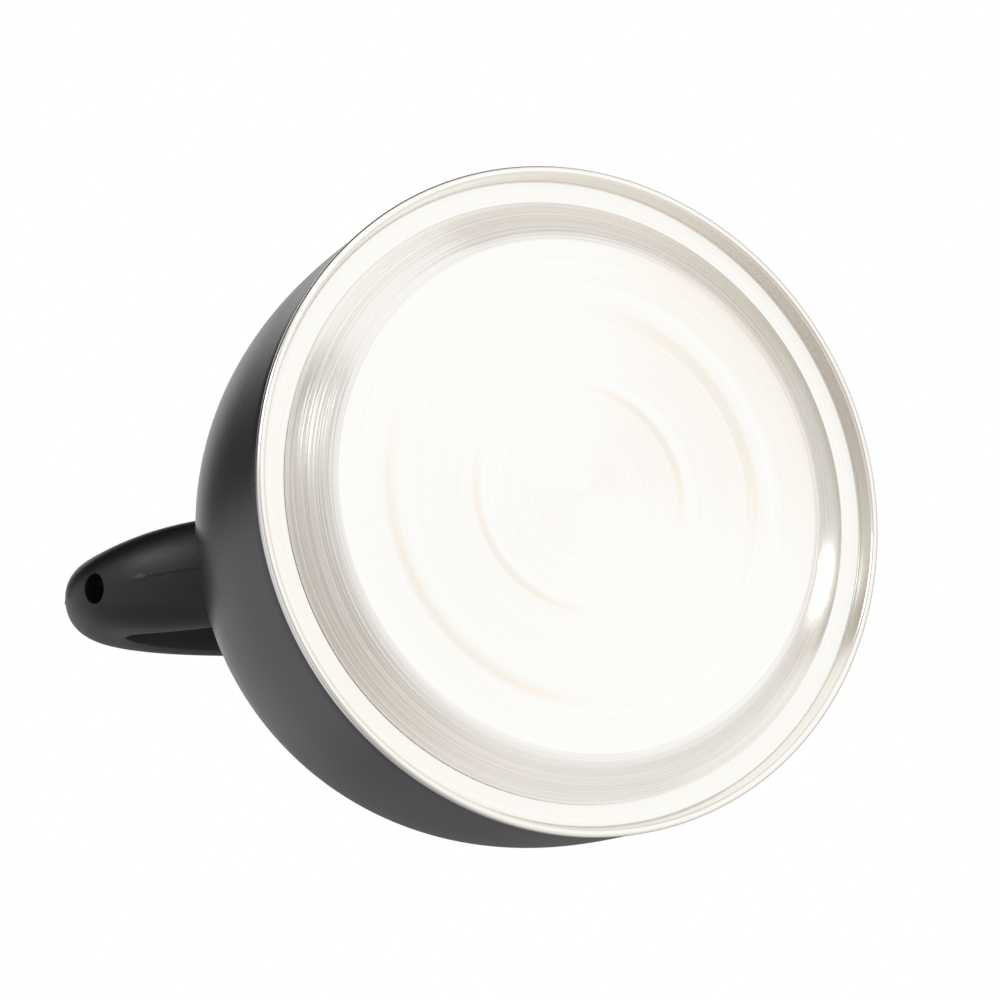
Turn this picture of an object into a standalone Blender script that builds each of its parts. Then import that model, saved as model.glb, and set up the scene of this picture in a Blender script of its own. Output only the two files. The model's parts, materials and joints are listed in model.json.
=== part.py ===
# Whistling kettle with a capsule base, a domed body, an arched handle and a spout flap opened by a trigger.
# Metres, +Z up, origin at the middle of the base disc's standing face, spout towards +X.

import bpy
import bmesh
from math import acos, asin, atan2, cos, hypot, pi, radians, sin
from mathutils import Matrix, Vector

# Clearances
SEAT_GAP = 0.0003            # between pieces that touch on the real kettle
PIN_GAP = 0.0003             # round a pin in its hole
LINK_SLACK = 0.0011          # length of the slot in the link's front eye
CUT_MARGIN = 0.0100          # how far a cutter runs past what it cuts

# Body
BODY_RADIUS = 0.1000
BODY_WALL = 0.0010
STRAIGHT_HEIGHT = 0.0250     # where the upright wall turns into the dome
DOME_HEIGHT = 0.1120         # from there to the dome's unbroken top
DOME_FULLNESS = 2.6          # 2 is an ellipse, more is fuller at the shoulder
MOUTH_RADIUS = 0.0430
BODY_SEGMENTS = 48

# Base
PAN_RING_WIDTH = 0.0063      # flat ring of the pan that shows round the disc
DISC_SLOPE_WIDTH = 0.0127
DISC_HEIGHT = 0.0073
DISC_SKIN = 0.0009
INNER_GROOVE_RADIUS = 0.0334
INNER_GROOVE_WIDTH = 0.0039
OUTER_GROOVE_RADIUS = 0.0591
OUTER_GROOVE_WIDTH = 0.0054
GROOVE_DEPTH = 0.0005
PAN_WALL = 0.0010
RIM_WALL_INSET = 0.0030      # from the body's outside to the recess wall
RIM_LIP = 0.0005             # thickness of the rolled lip
RIM_LIP_HEIGHT = 0.0040      # its top edge above the standing face
RIM_WALL_SLOPE = 0.0009      # the recess wall leans outwards by this
BEAD_CLEARANCE = 0.0015      # the bead's lowest line above the standing face
BEAD_ROUND = 0.0011          # height of the bead's rounding
TUCK_WALL = 0.0006           # the body's edge, pressed thinner inside the rolled lip

# Mouth ring and lid
RING_WALL = 0.0010
RING_FLANGE_WIDTH = 0.0060
RING_DEPTH = 0.0100
LID_WALL = 0.0012
LID_OVERHANG = 0.0045        # lid edge beyond the mouth
LID_RISE = 0.0100
LID_FLANGE = 0.0035
SKIRT_GAP = 0.0005
SKIRT_WALL = 0.0010
SKIRT_DEPTH = 0.0120
LID_SEGMENTS = 40

# Knob
KNOB_RADIUS = 0.0160
KNOB_HEIGHT = 0.0240
WASHER_RADIUS = 0.0115
WASHER_THICKNESS = 0.0012
KNOB_SCREW_RADIUS = 0.0020
KNOB_SCREW_REACH = 0.0120    # how far the screw enters the knob
KNOB_SCREW_HEAD_RADIUS = 0.0040
KNOB_SCREW_HEAD_HEIGHT = 0.0024

# Spout
SPOUT_ANGLE = 48.0           # above the horizontal, degrees
SPOUT_DISTANCE = 0.0860      # where its axis leaves the dome, from the kettle's axis
SPOUT_LENGTH = 0.0460
SPOUT_ROOT_RADIUS = 0.0210
SPOUT_MOUTH_RADIUS = 0.0160
SPOUT_FLARE = 1.6
SPOUT_WALL = 0.0010
SPOUT_BURIED = 0.0250        # blank length inside the dome before it is trimmed
SPOUT_SEGMENTS = 32
STRAINER_MARGIN = 0.0020     # body left round its spout hole

# Collar and flap
COLLAR_WIDTH = 0.0060
COLLAR_WALL = 0.0025
COLLAR_SETBACK = 0.0060      # from the collar's top to the spout's mouth
HINGE_OFFSET = 0.0075        # hinge axis outside the spout's mouth radius
HINGE_SETBACK = 0.0010       # hinge axis below the spout's mouth
EAR_RADIUS = 0.0040
EAR_THICKNESS = 0.0027
HUB_HALF_WIDTH = 0.0060
PIN_RADIUS = 0.0015
CAP_RADIUS = 0.0186
CAP_HEIGHT = 0.0115
CAP_WALL = 0.0023
CAP_ROOF = 0.0020
CAP_SHOULDER = 0.0030
CAP_OUTLET_RADIUS = 0.0035
FLAP_WEB_RISE = 0.0048       # where the hinge's web meets the cap's wall
FLAP_WEB_RADIUS = 0.0028
SEAL_THICKNESS = 0.0020
SEAL_INNER_RADIUS = 0.0126
WHISTLE_PLATE = 0.0008
WHISTLE_CHAMBER = 0.0030
WHISTLE_HOLE_RADIUS = 0.0020

# Trigger and link
TRIGGER_TRAVEL = 20.0        # degrees
FLAP_TRAVEL = 45.0           # degrees
TRIGGER_RISE = 0.0480        # trigger axis above the mouth's edge
TRIGGER_ARM = 0.0200
FLAP_HORN = 0.0090
TRIGGER_HALF_WIDTH = 0.0043
TRIGGER_HUB_RADIUS = 0.0062
TRIGGER_BLADE_REACH = 0.0340
TRIGGER_BLADE_DROP = 0.0075
TRIGGER_KNEE = 0.5           # where the blade bends, as a share of its reach
TRIGGER_KNEE_RADIUS = 0.0034
TRIGGER_TIP_RADIUS = 0.0026
LINK_HALF_THICKNESS = 0.0010
LINK_EYE_RADIUS = 0.0034
FORK_GAP = 0.0004            # between the link and each cheek of its forks
FORK_ROOF = 0.0010           # more room over the link's eye in the trigger's fork
LINK_PIN_RADIUS = 0.0012
SLOT_HALF_WIDTH = 0.0055
SLOT_BELOW = 0.0060          # room under the arm in the leg's slot
SLOT_ABOVE = 0.0100          # room over the trigger's axis in the leg's slot
PIN_SETBACK = 0.0020         # the trigger's pin ends inside the leg's sides
SPRING_WIRE = 0.0008
SPRING_SPACE = 0.0005        # between its turns
SPRING_TURNS = 2.5
SPRING_LEG = 0.0085

# Handle
HANDLE_RISE = 0.0890         # its top above the mouth's edge
REAR_OVERHANG = 0.0150       # its rear corner beyond the body
REAR_CORNER_RISE = 0.0160    # rear corner's outermost point above the mouth's edge
REAR_ROOT_INSET = 0.0160     # where its outer face meets the dome behind, from the body's side
REAR_ROOT_ANGLE = 33.0       # leg above the horizontal there, degrees
FRONT_LEG_CLEARANCE = 0.0025
FRONT_BEND_RISE = 0.0264     # where the front leg begins to bend, above the mouth's edge
LEG_BURIED = 0.0120          # blank length inside the dome before it is trimmed
ROOT_PULL = 0.0220           # how far each curve keeps to its end's direction
CORNER_PULL = 0.0200
REAR_RISE_PULL = 0.49        # the next four are shares of the arch's reach or rise on that side
REAR_TOP_PULL = 0.54
FRONT_TOP_PULL = 0.55
FRONT_RISE_PULL = 0.60
LEG_DEPTH = 0.0125
CORNER_DEPTH = 0.0170
GRIP_DEPTH = 0.0155
INNER_EDGE = 0.0015          # bevel along the flat inner face
REAR_LEG_HALF_WIDTH = 0.0172
CORNER_HALF_WIDTH = 0.0140
GRIP_HALF_WIDTH = 0.0160
FRONT_LEG_HALF_WIDTH = 0.0150
SECTION_FULLNESS = 2.2
HANGING_HOLE_RADIUS = 0.0048
HANGING_HOLE_POSITION = 0.70 # along the rear leg's curve, 0 root to 1 corner

# Brackets and screws
TONGUE_LENGTH = 0.0180
TONGUE_THICKNESS = 0.0030
BRACKET_WIDTH = 0.0180
FOOT_HALF_DEPTH = 0.0045
FOOT_THICKNESS = 0.0018
FOOT_BURIED = 0.0060         # blank foot inside the dome before it is trimmed
SCREW_RADIUS = 0.0020
SCREW_HEAD_RADIUS = 0.0036
SCREW_HEAD_HEIGHT = 0.0022
SCREW_SETBACK = 0.0110       # from the dome to the screw, along the leg
SCREW_SINK = 0.0006          # the head's top below the leg's face
SCREW_BLIND = 0.0035         # leg left solid beyond the screw's end
SCREW_SLOT_WIDTH = 0.0009
SCREW_SLOT_DEPTH = 0.0008


def clear_scene():
    for obj in list(bpy.data.objects):
        bpy.data.objects.remove(obj, do_unlink=True)


def make_material(name, color, roughness, metallic=0.0):
    material = bpy.data.materials.new(name)
    material.use_nodes = True
    shader = material.node_tree.nodes["Principled BSDF"]
    shader.inputs["Base Color"].default_value = (*color, 1.0)
    shader.inputs["Roughness"].default_value = roughness
    shader.inputs["Metallic"].default_value = metallic
    return material


def place_mesh(name, bm, material, pivot=(0, 0, 0)):
    """Make an object of a finished bmesh in world coordinates, with its origin at the pivot."""
    bmesh.ops.remove_doubles(bm, verts=bm.verts, dist=1e-6)
    bmesh.ops.recalc_face_normals(bm, faces=bm.faces)
    bmesh.ops.translate(bm, verts=bm.verts, vec=-Vector(pivot))
    mesh = bpy.data.meshes.new(name)
    bm.to_mesh(mesh)
    bm.free()
    mesh.shade_smooth()
    mesh.set_sharp_from_angle(angle=radians(35))
    obj = bpy.data.objects.new(name, mesh)
    obj.location = pivot
    if material:
        mesh.materials.append(material)
    bpy.context.scene.collection.objects.link(obj)
    return obj


def lathe_mesh(profile, segments, matrix=Matrix()):
    """Spin a profile of (radius, height) points about the local Z axis."""
    bm = bmesh.new()
    points = [bm.verts.new((radius, 0, height)) for radius, height in profile]
    open_on_axis = profile[0][0] == 0 and profile[-1][0] == 0
    pairs = list(zip(points, points[1:]))
    if not open_on_axis:
        pairs.append((points[-1], points[0]))
    edges = [bm.edges.new(pair) for pair in pairs]
    bmesh.ops.spin(bm, geom=points + edges, cent=(0, 0, 0), axis=(0, 0, 1), dvec=(0, 0, 0),
                   angle=2 * pi, steps=segments, use_merge=True)
    bmesh.ops.remove_doubles(bm, verts=bm.verts, dist=1e-6)
    bmesh.ops.transform(bm, matrix=matrix, verts=bm.verts)
    return bm


def plate_mesh(outline, y_low, y_high):
    """Extrude a closed outline of (x, z) points from y_low to y_high."""
    bm = bmesh.new()
    face = bm.faces.new([bm.verts.new((x, y_low, z)) for x, z in outline])
    extruded = bmesh.ops.extrude_face_region(bm, geom=[face])
    moved = [item for item in extruded["geom"] if isinstance(item, bmesh.types.BMVert)]
    bmesh.ops.translate(bm, verts=moved, vec=(0, y_high - y_low, 0))
    return bm


def cutter_of(name, bm):
    """Keep a finished bmesh as a tool that isn't part of the model."""
    obj = place_mesh(name, bm, None)
    bpy.context.scene.collection.objects.unlink(obj)
    obj.hide_render = True
    obj.display_type = "WIRE"
    return obj


def combine(obj, tools, operation):
    """Join or cut with all the tools at once, which keeps the result exact."""
    group = bpy.data.collections.new(obj.name + "_" + operation.lower())
    bpy.context.scene.collection.children.link(group)
    for tool in tools:
        group.objects.link(tool)
    modifier = obj.modifiers.new(group.name, "BOOLEAN")
    modifier.operation = operation
    modifier.operand_type = "COLLECTION"
    modifier.collection = group


def cut(obj, *tools):
    combine(obj, tools, "DIFFERENCE")


def fuse(obj, *tools):
    combine(obj, tools, "UNION")


def cylinder_cutter(name, center, direction, radius, length, sides=20):
    """A round bar centred on a point, along a direction."""
    turn = Vector(direction).to_track_quat("Z", "Y").to_matrix().to_4x4()
    matrix = Matrix.Translation(center) @ turn
    profile = [(0, -length / 2), (radius, -length / 2), (radius, length / 2), (0, length / 2)]
    return cutter_of(name, lathe_mesh(profile, sides, matrix))


def along(point, direction, distance):
    return Vector(point) + Vector(direction) * distance


def stadium(start, start_radius, end, end_radius, steps=7):
    """Outline round two circles joined by their tangents, as (x, z) points."""
    dx, dz = end[0] - start[0], end[1] - start[1]
    heading = atan2(dz, dx)
    lean = acos((start_radius - end_radius) / hypot(dx, dz))
    points = []
    for i in range(steps + 1):
        angle = heading - lean + 2 * lean * i / steps
        points.append((end[0] + end_radius * cos(angle), end[1] + end_radius * sin(angle)))
    for i in range(steps + 1):
        angle = heading + lean + (2 * pi - 2 * lean) * i / steps
        points.append((start[0] + start_radius * cos(angle), start[1] + start_radius * sin(angle)))
    return points


def dome_height(radius, inset=0.0):
    """Height of the dome's skin at a radius; a negative inset is outside the skin."""
    share = 1 - (radius / (BODY_RADIUS - inset)) ** DOME_FULLNESS
    return STRAIGHT_HEIGHT + (DOME_HEIGHT - inset) * share ** (1 / DOME_FULLNESS)


def dome_points(end_radius, inset=0.0, steps=10):
    """Profile of the dome from its springing line up to end_radius."""
    reach, rise = BODY_RADIUS - inset, DOME_HEIGHT - inset
    last = acos((end_radius / reach) ** (DOME_FULLNESS / 2))
    power = 2 / DOME_FULLNESS
    angles = [last * (i / steps) ** 1.15 for i in range(1, steps)]
    points = [(reach, STRAIGHT_HEIGHT)]
    points += [(reach * cos(a) ** power, STRAIGHT_HEIGHT + rise * sin(a) ** power) for a in angles]
    return points + [(end_radius, dome_height(end_radius, inset))]


def dome_cutter(name, gap):
    """Everything inside the dome and up to a gap outside it."""
    profile = [(0, STRAIGHT_HEIGHT / 2), (BODY_RADIUS + gap, STRAIGHT_HEIGHT / 2)]
    profile += dome_points(MOUTH_RADIUS, -gap)
    profile.append((0, profile[-1][1]))
    return cutter_of(name, lathe_mesh(profile, BODY_SEGMENTS))


# Places worked out from the sizes
MOUTH_Z = dome_height(MOUTH_RADIUS)
RING_Z = MOUTH_Z + SEAT_GAP + RING_WALL
LID_EDGE_Z = RING_Z + SEAT_GAP
LID_EDGE_RADIUS = MOUTH_RADIUS + LID_OVERHANG
LID_TOP_Z = LID_EDGE_Z + LID_WALL + LID_RISE
DISC_RADIUS = BODY_RADIUS - RIM_WALL_INSET - PAN_RING_WIDTH
DISC_FLAT_RADIUS = DISC_RADIUS - DISC_SLOPE_WIDTH
PAN_Z = DISC_HEIGHT + SEAT_GAP
TUCK_OUT = BODY_RADIUS - RIM_LIP
TUCK_IN = TUCK_OUT - TUCK_WALL
SPOUT_FOOT = Vector((SPOUT_DISTANCE, 0, dome_height(SPOUT_DISTANCE)))
SPOUT_FRAME = Matrix.Translation(SPOUT_FOOT) @ Matrix.Rotation(radians(90 - SPOUT_ANGLE), 4, "Y")
SPOUT_AXIS = Vector((cos(radians(SPOUT_ANGLE)), 0, sin(radians(SPOUT_ANGLE))))
HINGE_X = -(SPOUT_MOUTH_RADIUS + HINGE_OFFSET)
HINGE_S = SPOUT_LENGTH - HINGE_SETBACK
HINGE = SPOUT_FRAME @ Vector((HINGE_X, 0, HINGE_S))
FRONT_LEG_INNER_X = MOUTH_RADIUS + RING_FLANGE_WIDTH + FRONT_LEG_CLEARANCE
FRONT_REACH = FRONT_LEG_INNER_X + LEG_DEPTH + INNER_EDGE
REAR_REACH = BODY_RADIUS + REAR_OVERHANG
REAR_ROOT_RADIUS = BODY_RADIUS - REAR_ROOT_INSET
HANDLE_TOP_Z = MOUTH_Z + HANDLE_RISE
TRIGGER_PIVOT = Vector((FRONT_LEG_INNER_X + LEG_DEPTH / 2, 0, MOUTH_Z + TRIGGER_RISE))


def linkage_points():
    """The link's two pins at rest: trigger and flap swing evenly about the line square to the link."""
    dx, dz = HINGE.x - TRIGGER_PIVOT.x, HINGE.z - TRIGGER_PIVOT.z
    slope = atan2(dz, dx) + asin((TRIGGER_ARM + FLAP_HORN) / hypot(dx, dz))
    arm_angle = slope - pi / 2 + radians(TRIGGER_TRAVEL) / 2
    horn_angle = slope + pi / 2 - radians(FLAP_TRAVEL) / 2
    arm_pin = TRIGGER_PIVOT + Vector((cos(arm_angle), 0, sin(arm_angle))) * TRIGGER_ARM
    horn_pin = HINGE + Vector((cos(horn_angle), 0, sin(horn_angle))) * FLAP_HORN
    return arm_pin, horn_pin


ARM_PIN, HORN_PIN = linkage_points()


def build_body(material):
    tuck_z = RIM_LIP_HEIGHT + SEAT_GAP
    tuck_bottom = BEAD_CLEARANCE + PAN_WALL + SEAT_GAP
    profile = [(TUCK_IN, tuck_bottom), (TUCK_OUT, tuck_bottom), (TUCK_OUT, tuck_z), (BODY_RADIUS, tuck_z)]
    profile += dome_points(MOUTH_RADIUS)
    profile += reversed(dome_points(MOUTH_RADIUS, BODY_WALL))
    profile += [(BODY_RADIUS - BODY_WALL, PAN_Z + PAN_WALL)]
    body = place_mesh("body_shell", lathe_mesh(profile, BODY_SEGMENTS), material)
    hole = spout_radius(0) - SPOUT_WALL - STRAINER_MARGIN
    cut(body, cylinder_cutter("spout_hole", SPOUT_FOOT, SPOUT_AXIS, hole, 4 * CUT_MARGIN, 36))


def build_base(steel, aluminium):
    rim_in = BODY_RADIUS - RIM_WALL_INSET
    wall_foot = rim_in + RIM_WALL_SLOPE
    lip_out = BODY_RADIUS + SEAT_GAP
    lip_in = lip_out - RIM_LIP
    channel_z = BEAD_CLEARANCE + PAN_WALL
    pan = [(0, PAN_Z), (rim_in, PAN_Z)]
    steps = 6
    for i in range(steps + 1):
        angle = pi + pi * i / steps
        across = (wall_foot + lip_out + (lip_out - wall_foot) * cos(angle)) / 2
        pan.append((across, BEAD_CLEARANCE + BEAD_ROUND * (1 + sin(angle))))
    pan += [(lip_out, RIM_LIP_HEIGHT), (lip_in, RIM_LIP_HEIGHT), (lip_in, channel_z)]
    pan += [(TUCK_IN - SEAT_GAP, channel_z), (rim_in + PAN_WALL, PAN_Z + PAN_WALL), (0, PAN_Z + PAN_WALL)]
    place_mesh("base_pan", lathe_mesh(pan, BODY_SEGMENTS), steel)

    disc = [(0, 0)]
    grooves = ((INNER_GROOVE_RADIUS, INNER_GROOVE_WIDTH), (OUTER_GROOVE_RADIUS, OUTER_GROOVE_WIDTH))
    for radius, width in grooves:
        disc += [(radius - width / 2, 0), (radius - width / 5, GROOVE_DEPTH)]
        disc += [(radius + width / 5, GROOVE_DEPTH), (radius + width / 2, 0)]
    disc += [(DISC_FLAT_RADIUS, 0), (DISC_RADIUS, DISC_HEIGHT), (DISC_RADIUS - 2 * DISC_SKIN, DISC_HEIGHT)]
    disc += [(DISC_FLAT_RADIUS - DISC_SKIN / 2, DISC_SKIN), (0, DISC_SKIN)]
    place_mesh("base_disc", lathe_mesh(disc, BODY_SEGMENTS), steel)

    low, high = DISC_SKIN + SEAT_GAP, DISC_HEIGHT
    share = (low - DISC_SKIN) / (DISC_HEIGHT - DISC_SKIN)
    low_radius = DISC_FLAT_RADIUS - DISC_SKIN / 2 + share * (DISC_SLOPE_WIDTH - 1.5 * DISC_SKIN)
    high_radius = DISC_RADIUS - 2 * DISC_SKIN
    core = [(0, low), (low_radius - 2 * SEAT_GAP, low), (high_radius - 2 * SEAT_GAP, high), (0, high)]
    place_mesh("heat_core", lathe_mesh(core, LID_SEGMENTS), aluminium)


def build_mouth_ring(steel):
    edge = MOUTH_RADIUS + RING_FLANGE_WIDTH
    skirt_out = MOUTH_RADIUS - SEAT_GAP
    skirt_in = skirt_out - RING_WALL
    low, high = MOUTH_Z - RING_DEPTH, MOUTH_Z + SEAT_GAP
    edge_z = dome_height(edge) + SEAT_GAP
    ring = [(skirt_in, low), (skirt_out, low), (skirt_out, high), (MOUTH_RADIUS, high)]
    ring += [(edge, edge_z), (edge, edge_z + RING_WALL)]
    ring += [(MOUTH_RADIUS, RING_Z), (skirt_in, RING_Z)]
    place_mesh("mouth_ring", lathe_mesh(ring, LID_SEGMENTS), steel)


def lid_outer_height(radius):
    """Top of the lid at a radius: a low dome inside a flat flange."""
    bowl = LID_EDGE_RADIUS - LID_FLANGE
    return LID_EDGE_Z + LID_WALL + LID_RISE * max(0.0, 1 - (radius / bowl) ** 2)


def build_lid(painted, steel):
    steps = 5
    bowl = LID_EDGE_RADIUS - LID_FLANGE
    hole = KNOB_SCREW_RADIUS + PIN_GAP
    radii = [bowl + (hole - bowl) * i / steps for i in range(steps + 1)]
    shell = [(LID_EDGE_RADIUS, LID_EDGE_Z), (LID_EDGE_RADIUS, LID_EDGE_Z + LID_WALL)]
    shell += [(r, lid_outer_height(r)) for r in radii]
    shell += [(r, lid_outer_height(r) - LID_WALL) for r in reversed(radii)]
    place_mesh("lid_shell", lathe_mesh(shell, LID_SEGMENTS), painted)

    outer = MOUTH_RADIUS - SEAT_GAP - RING_WALL - SKIRT_GAP
    inner = outer - SKIRT_WALL
    top = lid_outer_height(outer) - LID_WALL - SEAT_GAP
    low = RING_Z - SKIRT_DEPTH
    flange = inner - 4 * SKIRT_WALL
    skirt = [(inner, low), (outer, low), (outer, top), (flange, top), (flange, top - SKIRT_WALL)]
    skirt += [(inner, top - SKIRT_WALL)]
    place_mesh("lid_skirt", lathe_mesh(skirt, LID_SEGMENTS), steel)


def build_knob(bakelite, steel):
    washer_z = LID_TOP_Z + SEAT_GAP
    knob_z = washer_z + WASHER_THICKNESS + SEAT_GAP
    hole = KNOB_SCREW_RADIUS + PIN_GAP
    washer = [(hole, washer_z), (WASHER_RADIUS, washer_z), (WASHER_RADIUS, washer_z + WASHER_THICKNESS)]
    washer.append((hole, washer_z + WASHER_THICKNESS))
    place_mesh("knob_washer", lathe_mesh(washer, 24), steel)

    reach = KNOB_SCREW_REACH + PIN_GAP
    shares = [(0.59, 0.0), (0.53, 0.10), (0.53, 0.25), (0.86, 0.52)]
    shares += [(1.0, 0.64), (1.0, 0.76), (0.88, 0.89), (0.55, 0.975)]
    knob = [(hole, knob_z)] + [(KNOB_RADIUS * r, knob_z + KNOB_HEIGHT * z) for r, z in shares]
    knob += [(0, knob_z + KNOB_HEIGHT), (0, knob_z + reach), (hole, knob_z + reach)]
    place_mesh("lid_knob", lathe_mesh(knob, 28), bakelite)

    under = LID_TOP_Z - LID_WALL - SEAT_GAP
    head, tall = KNOB_SCREW_HEAD_RADIUS, KNOB_SCREW_HEAD_HEIGHT
    screw = [(0, under - tall), (head * 0.8, under - tall), (head, under - tall / 2), (head, under)]
    screw += [(KNOB_SCREW_RADIUS, under), (KNOB_SCREW_RADIUS, knob_z + KNOB_SCREW_REACH)]
    screw.append((0, knob_z + KNOB_SCREW_REACH))
    place_mesh("knob_screw", lathe_mesh(screw, 20), steel)


def spout_radius(s):
    """Outer radius of the spout at a distance along its axis from the dome."""
    share = (1 - s / SPOUT_LENGTH) ** SPOUT_FLARE
    return SPOUT_MOUTH_RADIUS + (SPOUT_ROOT_RADIUS - SPOUT_MOUTH_RADIUS) * share


def build_spout(painted):
    steps = 7
    stations = [SPOUT_LENGTH - (SPOUT_LENGTH + SPOUT_BURIED) * i / steps for i in range(steps + 1)]
    profile = [(spout_radius(s), s) for s in stations]
    profile += [(spout_radius(s) - SPOUT_WALL, s) for s in reversed(stations)]
    spout = place_mesh("spout_tube", lathe_mesh(profile, SPOUT_SEGMENTS, SPOUT_FRAME), painted)
    cut(spout, dome_cutter("spout_trim", SEAT_GAP))


def spout_xz(x, s):
    point = SPOUT_FRAME @ Vector((x, 0, s))
    return point.x, point.z


def build_collar(bakelite, steel):
    top = SPOUT_LENGTH - COLLAR_SETBACK
    low = top - COLLAR_WIDTH
    bore = spout_radius(low) + SEAT_GAP
    outer = bore + COLLAR_WALL
    ring = [(bore, low), (outer, low), (outer, top), (bore, top)]
    collar = place_mesh("spout_collar", lathe_mesh(ring, SPOUT_SEGMENTS, SPOUT_FRAME), bakelite)
    root = spout_xz(-(bore + outer) / 2, (low + top) / 2)
    outline = stadium(root, EAR_THICKNESS, (HINGE.x, HINGE.z), EAR_RADIUS)
    ears = []
    for side, name in ((1, "ear_left"), (-1, "ear_right")):
        near = side * (HUB_HALF_WIDTH + SEAT_GAP)
        far = near + side * EAR_THICKNESS
        ears.append(cutter_of(name, plate_mesh(outline, min(near, far), max(near, far))))
    fuse(collar, *ears)
    start, end = low - CUT_MARGIN, SPOUT_LENGTH + CUT_MARGIN
    bore_cut = [(0, start), (bore, start), (bore, end), (0, end)]
    width = 2 * (HUB_HALF_WIDTH + SEAT_GAP + EAR_THICKNESS)
    cut(collar, cutter_of("collar_bore", lathe_mesh(bore_cut, SPOUT_SEGMENTS, SPOUT_FRAME)),
        cylinder_cutter("ear_holes", HINGE, (0, 1, 0), PIN_RADIUS + PIN_GAP, width + CUT_MARGIN))
    place_mesh("flap_pin", pin_mesh(HINGE, PIN_RADIUS, width / 2 + 2 * SEAT_GAP), steel)


def pin_mesh(center, radius, half_length, sides=16):
    """A round pin along Y with a small chamfer at each end."""
    edge = radius * 0.2
    turn = Matrix.Translation(center) @ Matrix.Rotation(radians(-90), 4, "X")
    profile = [(0, -half_length), (radius - edge, -half_length), (radius, edge - half_length)]
    profile += [(radius, half_length - edge), (radius - edge, half_length), (0, half_length)]
    return lathe_mesh(profile, sides, turn)


def build_flap(bakelite, steel, rubber):
    base = SPOUT_LENGTH + SEAT_GAP
    top = base + CAP_HEIGHT
    bore = CAP_RADIUS - CAP_WALL
    seal_top = base + SEAL_THICKNESS
    inner_plate = seal_top + SEAT_GAP
    outer_low = inner_plate + WHISTLE_PLATE + SEAT_GAP
    outer_top = outer_low + WHISTLE_CHAMBER + WHISTLE_PLATE
    cavity = outer_top + SEAT_GAP
    cap = [(CAP_OUTLET_RADIUS, top), (CAP_OUTLET_RADIUS, top - CAP_ROOF), (bore * 0.7, top - CAP_ROOF)]
    cap += [(bore * 0.7, cavity), (bore, cavity), (bore, base), (CAP_RADIUS, base)]
    steps = 3
    for i in range(steps + 1):
        angle = pi / 2 * i / steps
        cap.append((CAP_RADIUS - CAP_SHOULDER * (1 - cos(angle)), top - CAP_SHOULDER * (1 - sin(angle))))
    flap = place_mesh("whistle_cap", lathe_mesh(cap, SPOUT_SEGMENTS, SPOUT_FRAME), bakelite, HINGE)

    hinge = (HINGE.x, HINGE.z)
    wall = spout_xz(-(CAP_RADIUS - CAP_WALL / 2), base + FLAP_WEB_RISE)
    web = plate_mesh(stadium(hinge, EAR_RADIUS, wall, FLAP_WEB_RADIUS), -HUB_HALF_WIDTH, HUB_HALF_WIDTH)
    horn_outline = stadium(hinge, EAR_RADIUS, (HORN_PIN.x, HORN_PIN.z), LINK_EYE_RADIUS)
    horn = plate_mesh(horn_outline, -TRIGGER_HALF_WIDTH, TRIGGER_HALF_WIDTH)
    fuse(flap, cutter_of("flap_web", web), cutter_of("flap_horn", horn))
    inside = [(0, base - CUT_MARGIN), (bore, base - CUT_MARGIN), (bore, cavity), (0, cavity)]
    fork = plate_mesh(fork_outline(), -LINK_HALF_THICKNESS - FORK_GAP, LINK_HALF_THICKNESS + FORK_GAP)
    across = 4 * HUB_HALF_WIDTH
    cut(flap, cutter_of("cap_bore", lathe_mesh(inside, SPOUT_SEGMENTS, SPOUT_FRAME)),
        cutter_of("horn_fork", fork),
        cylinder_cutter("hub_hole", HINGE, (0, 1, 0), PIN_RADIUS + PIN_GAP, across),
        cylinder_cutter("horn_hole", HORN_PIN, (0, 1, 0), LINK_PIN_RADIUS + PIN_GAP, across, 16))

    rim = bore - SEAT_GAP
    hole = WHISTLE_HOLE_RADIUS
    seal = [(SEAL_INNER_RADIUS, base), (rim, base), (rim, seal_top), (SEAL_INNER_RADIUS, seal_top)]
    place_mesh("whistle_seal", lathe_mesh(seal, 24, SPOUT_FRAME), rubber, HINGE)
    inner_top = inner_plate + WHISTLE_PLATE
    inner = [(hole, inner_plate), (rim, inner_plate), (rim, inner_top), (hole, inner_top)]
    place_mesh("whistle_plate_inner", lathe_mesh(inner, 24, SPOUT_FRAME), steel, HINGE)
    outer = [(rim - WHISTLE_PLATE, outer_low), (rim, outer_low), (rim, outer_top), (hole, outer_top)]
    outer += [(hole, outer_top - WHISTLE_PLATE), (rim - WHISTLE_PLATE, outer_top - WHISTLE_PLATE)]
    place_mesh("whistle_plate_outer", lathe_mesh(outer, 24, SPOUT_FRAME), steel, HINGE)
    place_mesh("link_pin_front", pin_mesh(HORN_PIN, LINK_PIN_RADIUS, TRIGGER_HALF_WIDTH, 12), steel, HINGE)


def fork_outline():
    """Room that the link's front eye sweeps as the flap turns under it."""
    reach = LINK_EYE_RADIUS + LINK_SLACK + FORK_GAP
    far_x, up_z = HORN_PIN.x - 4 * reach, HORN_PIN.z + 2 * reach
    start, steps = -pi * 0.55, 8
    outline = []
    for i in range(steps + 1):
        angle = start + (pi / 2 - start) * i / steps
        outline.append((HORN_PIN.x + reach * cos(angle), HORN_PIN.z + reach * sin(angle)))
    return outline + [(HORN_PIN.x, up_z), (far_x, up_z), (far_x, outline[0][1])]


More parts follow.
